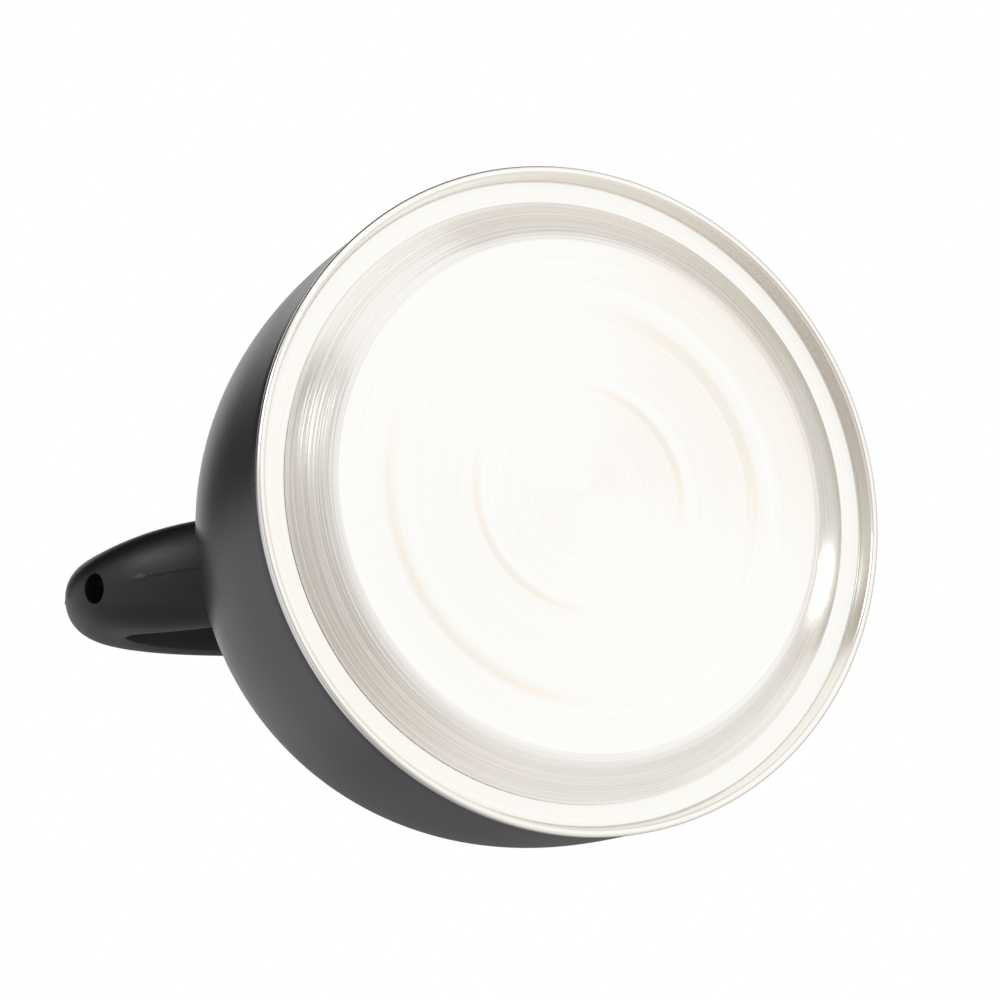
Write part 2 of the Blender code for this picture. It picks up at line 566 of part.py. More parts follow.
def build_trigger(bakelite, steel):
    pivot = (TRIGGER_PIVOT.x, TRIGGER_PIVOT.z)
    arm_end = (ARM_PIN.x, ARM_PIN.z)
    width = TRIGGER_HALF_WIDTH
    arm = plate_mesh(stadium(pivot, TRIGGER_HUB_RADIUS, arm_end, LINK_EYE_RADIUS), -width, width)
    trigger = place_mesh("trigger", arm, bakelite, TRIGGER_PIVOT)
    tip = (pivot[0] - TRIGGER_BLADE_REACH, pivot[1] - TRIGGER_BLADE_DROP)
    knee = (pivot[0] - TRIGGER_BLADE_REACH * TRIGGER_KNEE, pivot[1] - TRIGGER_BLADE_DROP * TRIGGER_KNEE ** 2)
    inner_blade = plate_mesh(stadium(pivot, TRIGGER_HUB_RADIUS, knee, TRIGGER_KNEE_RADIUS), -width, width)
    outer_blade = plate_mesh(stadium(knee, TRIGGER_KNEE_RADIUS, tip, TRIGGER_TIP_RADIUS), -width, width)
    fuse(trigger, cutter_of("blade_root", inner_blade), cutter_of("blade_tip", outer_blade))
    gap = LINK_HALF_THICKNESS + FORK_GAP
    reach = LINK_EYE_RADIUS + FORK_GAP
    low, high = ARM_PIN.z - 2 * reach, ARM_PIN.z + reach + FORK_ROOF
    back, front = ARM_PIN.x - 3 * reach, ARM_PIN.x + 3 * reach
    box = [(back, low), (front, low), (front, high), (back, high)]
    recess = along(TRIGGER_PIVOT, (0, 1, 0), spring_start() - SPRING_WIRE + CUT_MARGIN / 2)
    recess_radius = spring_radius() + SPRING_WIRE + PIN_GAP
    across = 4 * width
    cut(trigger, cutter_of("arm_fork", plate_mesh(box, -gap, gap)),
        cylinder_cutter("trigger_hole", TRIGGER_PIVOT, (0, 1, 0), PIN_RADIUS + PIN_GAP, across),
        cylinder_cutter("arm_hole", ARM_PIN, (0, 1, 0), LINK_PIN_RADIUS + PIN_GAP, across, 16),
        cylinder_cutter("spring_recess", recess, (0, 1, 0), recess_radius, CUT_MARGIN))
    place_mesh("trigger_pin", pin_mesh(TRIGGER_PIVOT, PIN_RADIUS, FRONT_LEG_HALF_WIDTH - PIN_SETBACK), steel)
    place_mesh("link_pin_rear", pin_mesh(ARM_PIN, LINK_PIN_RADIUS, width, 12), steel, TRIGGER_PIVOT)


def build_link(steel):
    rear, front = Vector((ARM_PIN.x, ARM_PIN.z)), Vector((HORN_PIN.x, HORN_PIN.z))
    heading = (front - rear).normalized()
    square = Vector((-heading.y, heading.x))
    half = LINK_HALF_THICKNESS
    bar = stadium(rear, LINK_EYE_RADIUS, front, LINK_EYE_RADIUS + LINK_SLACK / 2)
    link = place_mesh("link_rod", plate_mesh(bar, -half, half), steel, ARM_PIN)
    slot_top = front + square * LINK_SLACK
    slot = stadium(front, LINK_PIN_RADIUS + PIN_GAP, slot_top, LINK_PIN_RADIUS + PIN_GAP)
    cut(link, cutter_of("front_eye", plate_mesh(slot, -2 * half, 2 * half)),
        cylinder_cutter("rear_eye", ARM_PIN, (0, 1, 0), LINK_PIN_RADIUS + PIN_GAP, CUT_MARGIN, 16))


def spring_radius():
    """Coil radius that leaves room round the pin."""
    return PIN_RADIUS + PIN_GAP + SPRING_WIRE


def spring_start():
    """Lowest y of the coil, so that its last turn ends beside the trigger's cheek."""
    return TRIGGER_HALF_WIDTH - SPRING_TURNS * spring_pitch()


def spring_pitch():
    return SPRING_WIRE + SPRING_SPACE


def build_spring(steel):
    steps_per_turn = 10
    turns = int(SPRING_TURNS * steps_per_turn)
    radius = spring_radius()
    points = []
    for i in range(turns + 1):
        angle = pi / 2 + 2 * pi * i / steps_per_turn
        y = spring_start() + spring_pitch() * i / steps_per_turn
        points.append(TRIGGER_PIVOT + Vector((radius * cos(angle), y, radius * sin(angle))))
    last = points[-1]
    heading = points[-1] - points[-2]
    heading.y = 0
    heading.normalize()
    out = (SLOT_HALF_WIDTH + TRIGGER_HALF_WIDTH) / 2 - last.y
    for share, side in ((0.12, 0.6), (0.25, 1), (1, 1)):
        points.append(last + heading * SPRING_LEG * share + Vector((0, out * side, 0)))
    half_turn = steps_per_turn // 2
    nearest = min((a - b).length for i, a in enumerate(points) for b in points[i + half_turn:])
    print("spring clears itself by", round((nearest - SPRING_WIRE) * 1000, 2), "mm")
    curve = bpy.data.curves.new("trigger_spring", "CURVE")
    curve.dimensions = "3D"
    curve.bevel_depth = SPRING_WIRE / 2
    curve.bevel_resolution = 1
    curve.use_fill_caps = True
    spline = curve.splines.new("POLY")
    spline.points.add(len(points) - 1)
    for target, point in zip(spline.points, points):
        target.co = (*point, 1)
    curve.materials.append(steel)
    spring = bpy.data.objects.new("trigger_spring", curve)
    bpy.context.scene.collection.objects.link(spring)


def bezier(a, b, c, d, t):
    """Point and direction of a cubic curve in the mirror plane."""
    u = 1 - t
    point = a * u ** 3 + b * 3 * u * u * t + c * 3 * u * t * t + d * t ** 3
    slope = (b - a) * u * u + (c - b) * 2 * u * t + (d - c) * t * t
    return point, slope.normalized()


def handle_curves():
    """The handle's outer line as three curves: rear leg, rear half of the arch, front half of the arch."""
    root = Vector((-REAR_ROOT_RADIUS, dome_height(REAR_ROOT_RADIUS)))
    leg = Vector((-cos(radians(REAR_ROOT_ANGLE)), sin(radians(REAR_ROOT_ANGLE))))
    corner = Vector((-REAR_REACH, MOUTH_Z + REAR_CORNER_RISE))
    top = Vector((0, HANDLE_TOP_Z))
    front = Vector((FRONT_REACH, MOUTH_Z + FRONT_BEND_RISE))
    ahead, up = Vector((1, 0)), Vector((0, 1))
    rise = top.y - corner.y
    drop = top.y - front.y
    return (
        (root, root + leg * ROOT_PULL, corner - up * CORNER_PULL, corner),
        (corner, corner + up * rise * REAR_RISE_PULL, top - ahead * REAR_REACH * REAR_TOP_PULL, top),
        (top, top + ahead * FRONT_REACH * FRONT_TOP_PULL, front + up * drop * FRONT_RISE_PULL, front),
    )


def blend(start, end, t):
    """Ease from one size to another."""
    return start + (end - start) * (3 - 2 * t) * t * t


def handle_stations():
    """Outer point, direction, half width and depth along the handle from the rear root to the front root."""
    rear, arch_rear, arch_front = handle_curves()
    sizes = (
        (rear, 7, REAR_LEG_HALF_WIDTH, CORNER_HALF_WIDTH, LEG_DEPTH, CORNER_DEPTH),
        (arch_rear, 9, CORNER_HALF_WIDTH, GRIP_HALF_WIDTH, CORNER_DEPTH, GRIP_DEPTH),
        (arch_front, 8, GRIP_HALF_WIDTH, FRONT_LEG_HALF_WIDTH, GRIP_DEPTH, LEG_DEPTH),
    )
    point, heading = bezier(*rear, 0)
    stations = [(point - heading * LEG_BURIED, heading, REAR_LEG_HALF_WIDTH, LEG_DEPTH)]
    for index, (curve, steps, width_a, width_b, depth_a, depth_b) in enumerate(sizes):
        for i in range(0 if index == 0 else 1, steps + 1):
            t = i / steps
            point, heading = bezier(*curve, t)
            stations.append((point, heading, blend(width_a, width_b, t), blend(depth_a, depth_b, t)))
    point, heading = stations[-1][:2]
    foot = Vector((FRONT_REACH, dome_height(FRONT_REACH) - LEG_BURIED))
    stations.append((foot, heading, FRONT_LEG_HALF_WIDTH, LEG_DEPTH))
    return stations


def handle_section(point, heading, half_width, depth, steps=12):
    """A D-shaped ring: full round outside, flat with a small bevel inside."""
    inward = Vector((heading.y, -heading.x))
    ring = []
    power = 2 / SECTION_FULLNESS
    for i in range(steps + 1):
        angle = pi * i / steps
        side = half_width * (abs(cos(angle)) ** power) * (1 if i * 2 < steps else -1)
        sunk = depth * (1 - sin(angle) ** power) if 0 < i < steps else depth
        spot = point + inward * sunk
        ring.append((spot.x, 0.0 if i * 2 == steps else side, spot.y))
    spot = point + inward * (depth + INNER_EDGE)
    for side in (-1, 1):
        ring.append((spot.x, side * (half_width - INNER_EDGE), spot.y))
    return ring


def leg_frames():
    """For each end: a point on the dome at mid depth, the way out along the leg, and its outer side."""
    mid = (LEG_DEPTH + INNER_EDGE) / 2
    root, leg = bezier(*handle_curves()[0], 0)
    inward = Vector((leg.y, -leg.x))
    rear = root + inward * mid
    front = Vector((FRONT_REACH - mid, dome_height(FRONT_REACH - mid)))
    up = Vector((0, 1))
    return {"rear": (rear, leg, -inward), "front": (front, up, Vector((1, 0)))}


def bracket_outline(frame, grow=0.0):
    """Tongue and foot of a bracket as a T lying along the leg."""
    origin, leg, outward = frame
    tongue, foot = TONGUE_THICKNESS / 2 + grow, FOOT_HALF_DEPTH + grow
    step, end = FOOT_THICKNESS + grow, TONGUE_LENGTH + grow
    corners = [(-FOOT_BURIED, -foot), (-FOOT_BURIED, foot), (step, foot), (step, tongue)]
    corners += [(end, tongue), (end, -tongue), (step, -tongue), (step, -foot)]
    return [tuple(origin + leg * a + outward * b) for a, b in corners]


def screw_line(end, frame):
    """Where a screw's head rests, and the way the screw goes in."""
    origin, leg, outward = frame
    mid = (LEG_DEPTH + INNER_EDGE) / 2
    way = outward if end == "rear" else -outward
    seat = origin + leg * SCREW_SETBACK - way * (mid - SCREW_HEAD_HEIGHT - SCREW_SINK)
    return Vector((seat.x, 0, seat.y)), Vector((way.x, 0, way.y))


def build_handle(bakelite, steel):
    bm = bmesh.new()
    rings = [[bm.verts.new(co) for co in handle_section(*station)] for station in handle_stations()]
    for ring, following in zip(rings, rings[1:]):
        for i in range(len(ring)):
            j = (i + 1) % len(ring)
            bm.faces.new((ring[i], ring[j], following[j], following[i]))
    bm.faces.new(rings[0])
    bm.faces.new(reversed(rings[-1]))
    handle = place_mesh("handle", bm, bakelite)
    cuts = [dome_cutter("handle_trim", 1.5 * SEAT_GAP)]
    frames = leg_frames()
    half = BRACKET_WIDTH / 2
    bracket_trim = dome_cutter("bracket_trim", SEAT_GAP)
    for end, frame in frames.items():
        bracket = place_mesh(end + "_bracket", plate_mesh(bracket_outline(frame), -half, half), steel)
        pocket = plate_mesh(bracket_outline(frame, SEAT_GAP), -half - SEAT_GAP, half + SEAT_GAP)
        cuts.append(cutter_of(end + "_pocket", pocket))
        seat, way = screw_line(end, frame)
        reach = LEG_DEPTH - SCREW_BLIND
        clear, well = SCREW_RADIUS + PIN_GAP, SCREW_HEAD_RADIUS + 2 * PIN_GAP
        middle, deep = along(seat, way, reach / 2), reach + 2 * PIN_GAP
        shank = cylinder_cutter(end + "_screw_hole", middle, way, clear, deep)
        cut(bracket, bracket_trim, shank)
        cuts.append(shank)
        above = along(seat, way, -CUT_MARGIN / 2)
        cuts.append(cylinder_cutter(end + "_screw_well", above, way, well, CUT_MARGIN))
        add_screw(end + "_screw", seat, way, reach, steel)

    low, high = ARM_PIN.z - LINK_EYE_RADIUS - SLOT_BELOW, TRIGGER_PIVOT.z + SLOT_ABOVE
    back, front = FRONT_LEG_INNER_X - 2 * CUT_MARGIN, FRONT_REACH + CUT_MARGIN
    box = [(back, low), (front, low), (front, high), (back, high)]
    cuts.append(cutter_of("trigger_slot", plate_mesh(box, -SLOT_HALF_WIDTH, SLOT_HALF_WIDTH)))
    deep = 2 * (FRONT_LEG_HALF_WIDTH - PIN_SETBACK + PIN_GAP)
    cuts.append(cylinder_cutter("trigger_pin_hole", TRIGGER_PIVOT, (0, 1, 0), PIN_RADIUS + PIN_GAP, deep))

    point, heading = bezier(*handle_curves()[0], HANGING_HOLE_POSITION)
    way = Vector((heading.y, 0, -heading.x))
    center = along((point.x, 0, point.y), way, CORNER_DEPTH / 2)
    cuts.append(cylinder_cutter("hanging_hole", center, way, HANGING_HOLE_RADIUS, 3 * CORNER_DEPTH, 24))
    cut(handle, *cuts)


def add_screw(name, seat, way, reach, steel):
    """A round-headed screw whose head rests at the seat, with a slot across the head."""
    turn = Matrix.Translation(seat) @ way.to_track_quat("Z", "Y").to_matrix().to_4x4()
    head, tall = SCREW_HEAD_RADIUS, SCREW_HEAD_HEIGHT
    profile = [(0, -tall), (head * 0.7, -tall), (head, -tall * 0.45), (head, -SEAT_GAP)]
    profile += [(SCREW_RADIUS, -SEAT_GAP), (SCREW_RADIUS, reach - PIN_GAP), (0, reach - PIN_GAP)]
    screw = place_mesh(name, lathe_mesh(profile, 20, turn), steel)
    slot = bmesh.new()
    size = Matrix.Diagonal((2.4 * head, SCREW_SLOT_WIDTH, 2 * SCREW_SLOT_DEPTH, 1))
    bmesh.ops.create_cube(slot, size=1, matrix=turn @ Matrix.Translation((0, 0, -tall)) @ size)
    cut(screw, cutter_of(name + "_slot", slot))


def build_kettle():
    painted = make_material("satin_black_paint", (0.030, 0.030, 0.033), 0.32)
    steel = make_material("stainless_steel", (0.80, 0.78, 0.75), 0.28, 1.0)
    aluminium = make_material("aluminium", (0.85, 0.85, 0.86), 0.4, 1.0)
    bakelite = make_material("black_bakelite", (0.025, 0.025, 0.026), 0.45)
    rubber = make_material("grey_silicone", (0.18, 0.18, 0.18), 0.7)
    build_body(painted)
    build_base(steel, aluminium)
    build_mouth_ring(steel)
    build_lid(painted, steel)
    build_knob(bakelite, steel)
    build_spout(painted)
    build_collar(bakelite, steel)
    build_flap(bakelite, steel, rubber)
    build_trigger(bakelite, steel)
    build_link(steel)
    build_spring(steel)
    build_handle(bakelite, steel)
    print("trigger axis", [round(v, 5) for v in TRIGGER_PIVOT], "flap axis", [round(v, 5) for v in HINGE])
    print("link pins", [round(v, 5) for v in ARM_PIN], [round(v, 5) for v in HORN_PIN])


clear_scene()
build_kettle()
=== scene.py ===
import json
from math import acos, cos, hypot, pi, radians, sin
import bmesh
import bpy
from mathutils import Matrix, Vector

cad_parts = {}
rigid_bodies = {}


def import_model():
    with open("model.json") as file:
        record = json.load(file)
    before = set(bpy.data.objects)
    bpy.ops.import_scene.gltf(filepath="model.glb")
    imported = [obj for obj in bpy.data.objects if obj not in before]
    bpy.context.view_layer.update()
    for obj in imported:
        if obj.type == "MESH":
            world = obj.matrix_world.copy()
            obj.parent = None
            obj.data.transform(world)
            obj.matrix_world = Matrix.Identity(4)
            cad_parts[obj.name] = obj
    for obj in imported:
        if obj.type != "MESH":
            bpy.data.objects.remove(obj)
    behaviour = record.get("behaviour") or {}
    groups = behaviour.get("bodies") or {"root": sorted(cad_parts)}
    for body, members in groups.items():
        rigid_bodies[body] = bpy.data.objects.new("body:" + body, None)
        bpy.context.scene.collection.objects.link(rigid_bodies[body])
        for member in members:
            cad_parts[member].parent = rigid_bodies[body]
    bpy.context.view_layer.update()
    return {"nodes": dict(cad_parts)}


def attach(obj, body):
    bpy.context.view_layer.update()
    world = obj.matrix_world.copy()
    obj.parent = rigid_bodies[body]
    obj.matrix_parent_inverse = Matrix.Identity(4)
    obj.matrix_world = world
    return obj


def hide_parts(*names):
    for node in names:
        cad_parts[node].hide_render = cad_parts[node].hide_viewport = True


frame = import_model()

# Whistling kettle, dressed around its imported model. Metres, +Z up, spout towards +X.
scene = bpy.context.scene
# how many parts each turn, arc or line is cut into
steps = {"round": 192, "dome": 44, "rounding": 4, "rim": 16, "groove": 20, "lid": 18, "washer": 96,
         "knob": 128, "span": 6, "bar": 48, "arc": 8, "grip": 36, "drop": 8, "hole": 64, "screwHole": 32,
         "pin": 40, "spout": 128, "tube": 28, "weld": 128, "collar": 96, "cap": 112, "shoulder": 10,
         "fork": 32}
closeBy = {"axis": 1e-9, "merge": 1e-6, "carved": 2e-6, "corner": 2e-5}   # metres within which points are one
edgeAngle = {"turned": 38, "carved": 40, "knob": 50, "grip": 30, "hull": 1, "flat": 0.5}   # degrees
print("frame loaded:", len(frame["nodes"]), "nodes")


# Small tools used by every piece

def tidyMesh(bm):
    bmesh.ops.remove_doubles(bm, verts=bm.verts, dist=closeBy["merge"])
    bmesh.ops.dissolve_degenerate(bm, edges=bm.edges, dist=closeBy["merge"])
    bmesh.ops.recalc_face_normals(bm, faces=bm.faces)


def roundEdges(bm, edges, size, segments):
    bmesh.ops.bevel(bm, geom=edges, offset=size, offset_type="OFFSET", segments=segments, profile=0.5,
                    affect="EDGES", material=-1, clamp_overlap=True)


def makeObject(name, bm, sharp=edgeAngle["turned"]):
    tidyMesh(bm)
    mesh = bpy.data.meshes.new(name)
    bm.to_mesh(mesh)
    bm.free()
    mesh.shade_smooth()
    mesh.set_sharp_from_angle(angle=radians(sharp))
    made = bpy.data.objects.new(name, mesh)
    scene.collection.objects.link(made)
    return made


def fitPiece(piece, body, nodes, slotName, *materials):
    piece.data.materials.clear()
    for material in materials:
        piece.data.materials.append(material)
    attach(piece, body)
    if nodes:
        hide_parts(*nodes)


def turned(profile, count, place=None, rounding=()):
    bm = bmesh.new()
    spots = [bm.verts.new((radius, 0, height)) for radius, height in profile]
    runs = list(zip(spots, spots[1:]))
    if max(profile[0][0], profile[-1][0]) > closeBy["axis"]:
        runs.append((spots[-1], spots[0]))
    lines = [bm.edges.new(run) for run in runs]
    bmesh.ops.spin(bm, geom=spots + lines, cent=(0, 0, 0), axis=(0, 0, 1), dvec=(0, 0, 0),
                   angle=2 * pi, steps=count, use_merge=True)
    bmesh.ops.remove_doubles(bm, verts=bm.verts, dist=closeBy["merge"])
    bmesh.ops.recalc_face_normals(bm, faces=bm.faces)
    slack = closeBy["corner"]
    for radius, height, size in rounding:   # round off the ring at this corner
        ring = [e for e in bm.edges if all(
            abs(hypot(v.co.x, v.co.y) - radius) < slack and abs(v.co.z - height) < slack for v in e.verts)]
        roundEdges(bm, ring, size, steps["rounding"])
    if place is not None:
        bmesh.ops.transform(bm, matrix=place, verts=bm.verts)
    return bm


def smoothLine(points, perSpan):
    # a Catmull-Rom line through the points
    ends = [points[0]] + list(points) + [points[-1]]
    line = []
    for a, b, c, d in zip(ends, ends[1:], ends[2:], ends[3:]):
        for i in range(perSpan):
            t = i / perSpan
            line.append(tuple(0.5 * (2 * q + (r - p) * t + (2 * p - 5 * q + 4 * r - s) * t * t
                                     + (3 * q - p - 3 * r + s) * t ** 3)
                              for p, q, r, s in zip(a, b, c, d)))
    return line + [tuple(points[-1])]


def strap(start, startRadius, end, endRadius, low, high):
    # two round bosses along Y and the web between them
    bm = bmesh.new()
    for spot, radius in ((start, startRadius), (end, endRadius)):
        place = Matrix.Translation((spot[0], (low + high) / 2, spot[1])) @ Matrix.Rotation(pi / 2, 4, "X")
        bmesh.ops.create_cone(bm, cap_ends=True, segments=steps["bar"], radius1=radius, radius2=radius,
                              depth=high - low, matrix=place)
    hull = bmesh.ops.convex_hull(bm, input=bm.verts)
    spare = [g for g in hull["geom_interior"] + hull["geom_unused"] if isinstance(g, bmesh.types.BMVert)]
    bmesh.ops.delete(bm, geom=spare, context="VERTS")
    bmesh.ops.dissolve_limit(bm, angle_limit=radians(edgeAngle["hull"]), verts=bm.verts, edges=bm.edges)
    return bm


def block(low, high):
    bm = bmesh.new()
    size = Vector(high) - Vector(low)
    middle = (Vector(high) + Vector(low)) / 2
    bmesh.ops.create_cube(bm, size=1, matrix=Matrix.Translation(middle) @ Matrix.Diagonal((*size, 1)))
    return bm


def quarterTurn(count):
    return [pi / 2 * i / count for i in range(count + 1)]


def aimed(place, way, axis="Z"):
    return Matrix.Translation(place) @ Vector(way).to_track_quat(axis, "Y").to_matrix().to_4x4()


def bar(radius, low, high, count, place):
    return turned([(0, low), (radius, low), (radius, high), (0, high)], count, place)


def rod(center, way, radius, length, count=steps["bar"], flare=0, flareAt=0):
    # a bar for drilling; the flare opens it out like a trumpet beyond flareAt
    place, half = aimed(center, way), length / 2
    if not flare:
        return bar(radius, -half, half, count, place)
    lip = [(radius + flare * (1 - cos(a)), flareAt + flare * sin(a)) for a in quarterTurn(steps["arc"])]
    lip += [(radius + flare, half)]
    below = [(r, -z) for r, z in reversed(lip)]
    return turned([(0, -half)] + below + lip + [(0, half)], count, place)


def crossHole(center, radius, length=0.05):
    return rod(center, (0, 1, 0), radius, length)


def carve(piece, tools, operation="DIFFERENCE"):
    group = bpy.data.collections.new(piece.name + "Tools")
    scene.collection.children.link(group)
    for i, bm in enumerate(tools):
        tool = makeObject(f"{piece.name}Tool{i}", bm)
        scene.collection.objects.unlink(tool)
        group.objects.link(tool)
    change = piece.modifiers.new("carve", "BOOLEAN")
    change.operation, change.operand_type, change.collection = operation, "COLLECTION", group
    change.solver = "EXACT"
    bpy.context.view_layer.update()
    solved = bpy.data.meshes.new_from_object(piece.evaluated_get(bpy.context.evaluated_depsgraph_get()))
    piece.modifiers.clear()
    piece.data = solved
    for tool in list(group.objects):
        bpy.data.objects.remove(tool)
    bpy.data.collections.remove(group)


def softenEdges(piece, size, segments):
    # rounds every sharp edge of a carved piece
    sharp = radians(edgeAngle["carved"])
    bm = bmesh.new()
    bm.from_mesh(piece.data)
    bmesh.ops.remove_doubles(bm, verts=bm.verts, dist=closeBy["carved"])
    bmesh.ops.dissolve_limit(bm, angle_limit=radians(edgeAngle["flat"]), verts=bm.verts, edges=bm.edges)
    roundEdges(bm, [e for e in bm.edges if e.is_manifold and e.calc_face_angle(0) > sharp], size, segments)
    tidyMesh(bm)
    bm.to_mesh(piece.data)
    bm.free()
    piece.data.shade_smooth()
    piece.data.set_sharp_from_angle(angle=sharp)


# Camera, held below the kettle and looking up at its base

shot = {"place": (-0.36659, 0.13459, -0.73054), "right": (0.90887, 0.11667, -0.40044),
        "down": (-0.03891, 0.97961, 0.19712), "lens": 101.89, "sensor": 36}
right, down = Vector(shot["right"]).normalized(), Vector(shot["down"]).normalized()
ahead = right.cross(down).normalized()
down = ahead.cross(right)
cameraData = bpy.data.cameras.new("camera")
cameraData.lens, cameraData.sensor_width = shot["lens"], shot["sensor"]
camera = bpy.data.objects.new("camera", cameraData)
scene.collection.objects.link(camera)
camera.matrix_world = Matrix.Translation(shot["place"]) @ Matrix(
    [[right[i], -down[i], -ahead[i]] for i in range(3)]).to_4x4()
scene.camera = camera
scene.view_settings.view_transform = "Standard"


# Node tools

def newGroup(name, inputs, outputs):
    group = bpy.data.node_groups.new(name, "ShaderNodeTree")
    for label, value in inputs:
        socket = group.interface.new_socket(label, in_out="INPUT", socket_type="NodeSocketFloat")
        socket.default_value = value
    for label, kind in outputs:
        group.interface.new_socket(label, in_out="OUTPUT", socket_type=kind)
    return group, group.nodes.new("NodeGroupInput"), group.nodes.new("NodeGroupOutput")


def addNode(tree, kind, values=(), **settings):
    node = tree.nodes.new(kind)
    for key, value in settings.items():
        setattr(node, key, value)
    for key, value in dict(values).items():
        node.inputs[key].default_value = value
    return node


def feed(tree, value, socket):
    # links another node's output, or sets a plain value
    if hasattr(value, "is_output"):
        tree.links.new(value, socket)
    else:
        socket.default_value = value


def mathNode(tree, operation, a, b):
    node = addNode(tree, "ShaderNodeMath", operation=operation)
    feed(tree, a, node.inputs[0])
    feed(tree, b, node.inputs[1])
    return node.outputs[0]


def noiseNode(tree, vector, scale, detail, roughness, distortion=0.0):
    values = {"Detail": detail, "Roughness": roughness, "Distortion": distortion}
    node = addNode(tree, "ShaderNodeTexNoise", values)
    tree.links.new(vector, node.inputs["Vector"])
    feed(tree, scale, node.inputs["Scale"])
    return node.outputs["Fac"]


def bumpNode(tree, height, strength, distance, normal=None):
    node = addNode(tree, "ShaderNodeBump", {"Distance": distance})
    tree.links.new(height, node.inputs["Height"])
    feed(tree, strength, node.inputs["Strength"])
    if normal is not None:
        tree.links.new(normal, node.inputs["Normal"])
    return node.outputs["Normal"]


def turnedLinesGroup():
    # fine lines left by a brush held against a turning part, round the Z axis
    group, inside, outside = newGroup(
        "turnedLines", [("Fineness", 2600.0), ("Streak", 1.4), ("Depth", 0.5), ("Rise", -1.0)],
        [("Lines", "NodeSocketFloat"), ("Bands", "NodeSocketFloat"), ("Normal", "NodeSocketVector")])
    links = group.links
    place = addNode(group, "ShaderNodeTexCoord").outputs["Object"]
    flat = addNode(group, "ShaderNodeVectorMath", operation="MULTIPLY")
    links.new(place, flat.inputs[0])
    flat.inputs[1].default_value = (1, 1, 0)
    length = addNode(group, "ShaderNodeVectorMath", operation="LENGTH")
    links.new(flat.outputs[0], length.inputs[0])
    heading = addNode(group, "ShaderNodeVectorMath", operation="NORMALIZE")
    links.new(flat.outputs[0], heading.inputs[0])
    split = addNode(group, "ShaderNodeSeparateXYZ")
    links.new(place, split.inputs[0])
    travel = mathNode(group, "ADD", length.outputs["Value"],
                      mathNode(group, "MULTIPLY", split.outputs["Z"], inside.outputs["Rise"]))
    results = []
    for spread, streakShare, detail in ((1.0, 1.0, 3.0), (0.34, 0.6, 2.0)):
        fine = mathNode(group, "MULTIPLY", travel, inside.outputs["Fineness"])
        fine = mathNode(group, "MULTIPLY", fine, spread)
        streak = addNode(group, "ShaderNodeVectorMath", operation="SCALE")
        links.new(heading.outputs[0], streak.inputs[0])
        links.new(mathNode(group, "MULTIPLY", inside.outputs["Streak"], streakShare), streak.inputs["Scale"])
        lift = addNode(group, "ShaderNodeCombineXYZ")
        links.new(fine, lift.inputs["Z"])
        total = addNode(group, "ShaderNodeVectorMath", operation="ADD")
        links.new(streak.outputs[0], total.inputs[0])
        links.new(lift.outputs[0], total.inputs[1])
        results.append(noiseNode(group, total.outputs[0], 1.0, detail, 0.62))
    links.new(results[0], outside.inputs["Lines"])
    links.new(results[1], outside.inputs["Bands"])
    height = mathNode(group, "ADD", results[0], mathNode(group, "MULTIPLY", results[1], 2.0))
    links.new(bumpNode(group, height, inside.outputs["Depth"], 0.0001), outside.inputs["Normal"])
    return group


def grainGroup():
    # skin of paint or moulded plastic: fine pitting over a slow ripple
    group, inside, outside = newGroup(
        "skinGrain", [("Grain", 2200.0), ("Grain Depth", 0.3), ("Ripple", 160.0), ("Ripple Depth", 0.15)],
        [("Speckle", "NodeSocketFloat"), ("Cloud", "NodeSocketFloat"), ("Normal", "NodeSocketVector")])
    links = group.links
    place = addNode(group, "ShaderNodeTexCoord").outputs["Object"]
    fine = noiseNode(group, place, inside.outputs["Grain"], 3.0, 0.6)
    slow = noiseNode(group, place, inside.outputs["Ripple"], 2.0, 0.5)
    cloud = noiseNode(group, place, 22.0, 4.0, 0.55, 0.4)
    first = bumpNode(group, slow, inside.outputs["Ripple Depth"], 0.0004)
    links.new(bumpNode(group, fine, inside.outputs["Grain Depth"], 0.00005, first), outside.inputs["Normal"])
    links.new(fine, outside.inputs["Speckle"])
    links.new(cloud, outside.inputs["Cloud"])
    return group


def strokeGroup():
    # straight brushing along X on flat strips and small steel parts
    group, inside, outside = newGroup(
        "straightLines", [("Fineness", 2400.0), ("Depth", 0.4)],
        [("Lines", "NodeSocketFloat"), ("Normal", "NodeSocketVector")])
    links = group.links
    place = addNode(group, "ShaderNodeTexCoord").outputs["Object"]
    mapping = addNode(group, "ShaderNodeMapping", {"Scale": (0.02, 1.0, 1.0)})
    links.new(place, mapping.inputs["Vector"])
    fine = noiseNode(group, mapping.outputs[0], inside.outputs["Fineness"], 3.0, 0.6)
    links.new(fine, outside.inputs["Lines"])
    links.new(bumpNode(group, fine, inside.outputs["Depth"], 0.00002), outside.inputs["Normal"])
    return group


lineGroup, skinGroup, straightGroup = turnedLinesGroup(), grainGroup(), strokeGroup()


def startMaterial(name, metallic=0.0, specular=0.5):
    material = bpy.data.materials.new(name)
    material.use_nodes = True
    shader = material.node_tree.nodes["Principled BSDF"]
    shader.inputs["Metallic"].default_value = metallic
    shader.inputs["Specular IOR Level"].default_value = specular
    return material, material.node_tree, shader


def useGroup(tree, group, values):
    return addNode(tree, "ShaderNodeGroup", values, node_tree=group)


def rampNode(tree, fac, stops):
    ramp = addNode(tree, "ShaderNodeValToRGB")
    while len(ramp.color_ramp.elements) < len(stops):
        ramp.color_ramp.elements.new(0.5)
    for element, (spot, color) in zip(ramp.color_ramp.elements, stops):
        element.position, element.color = spot, (*color, 1)
    tree.links.new(fac, ramp.inputs[0])
    return ramp.outputs[0]


noiseSpan = (0.3, 0.7)   # where most values of a noise lie


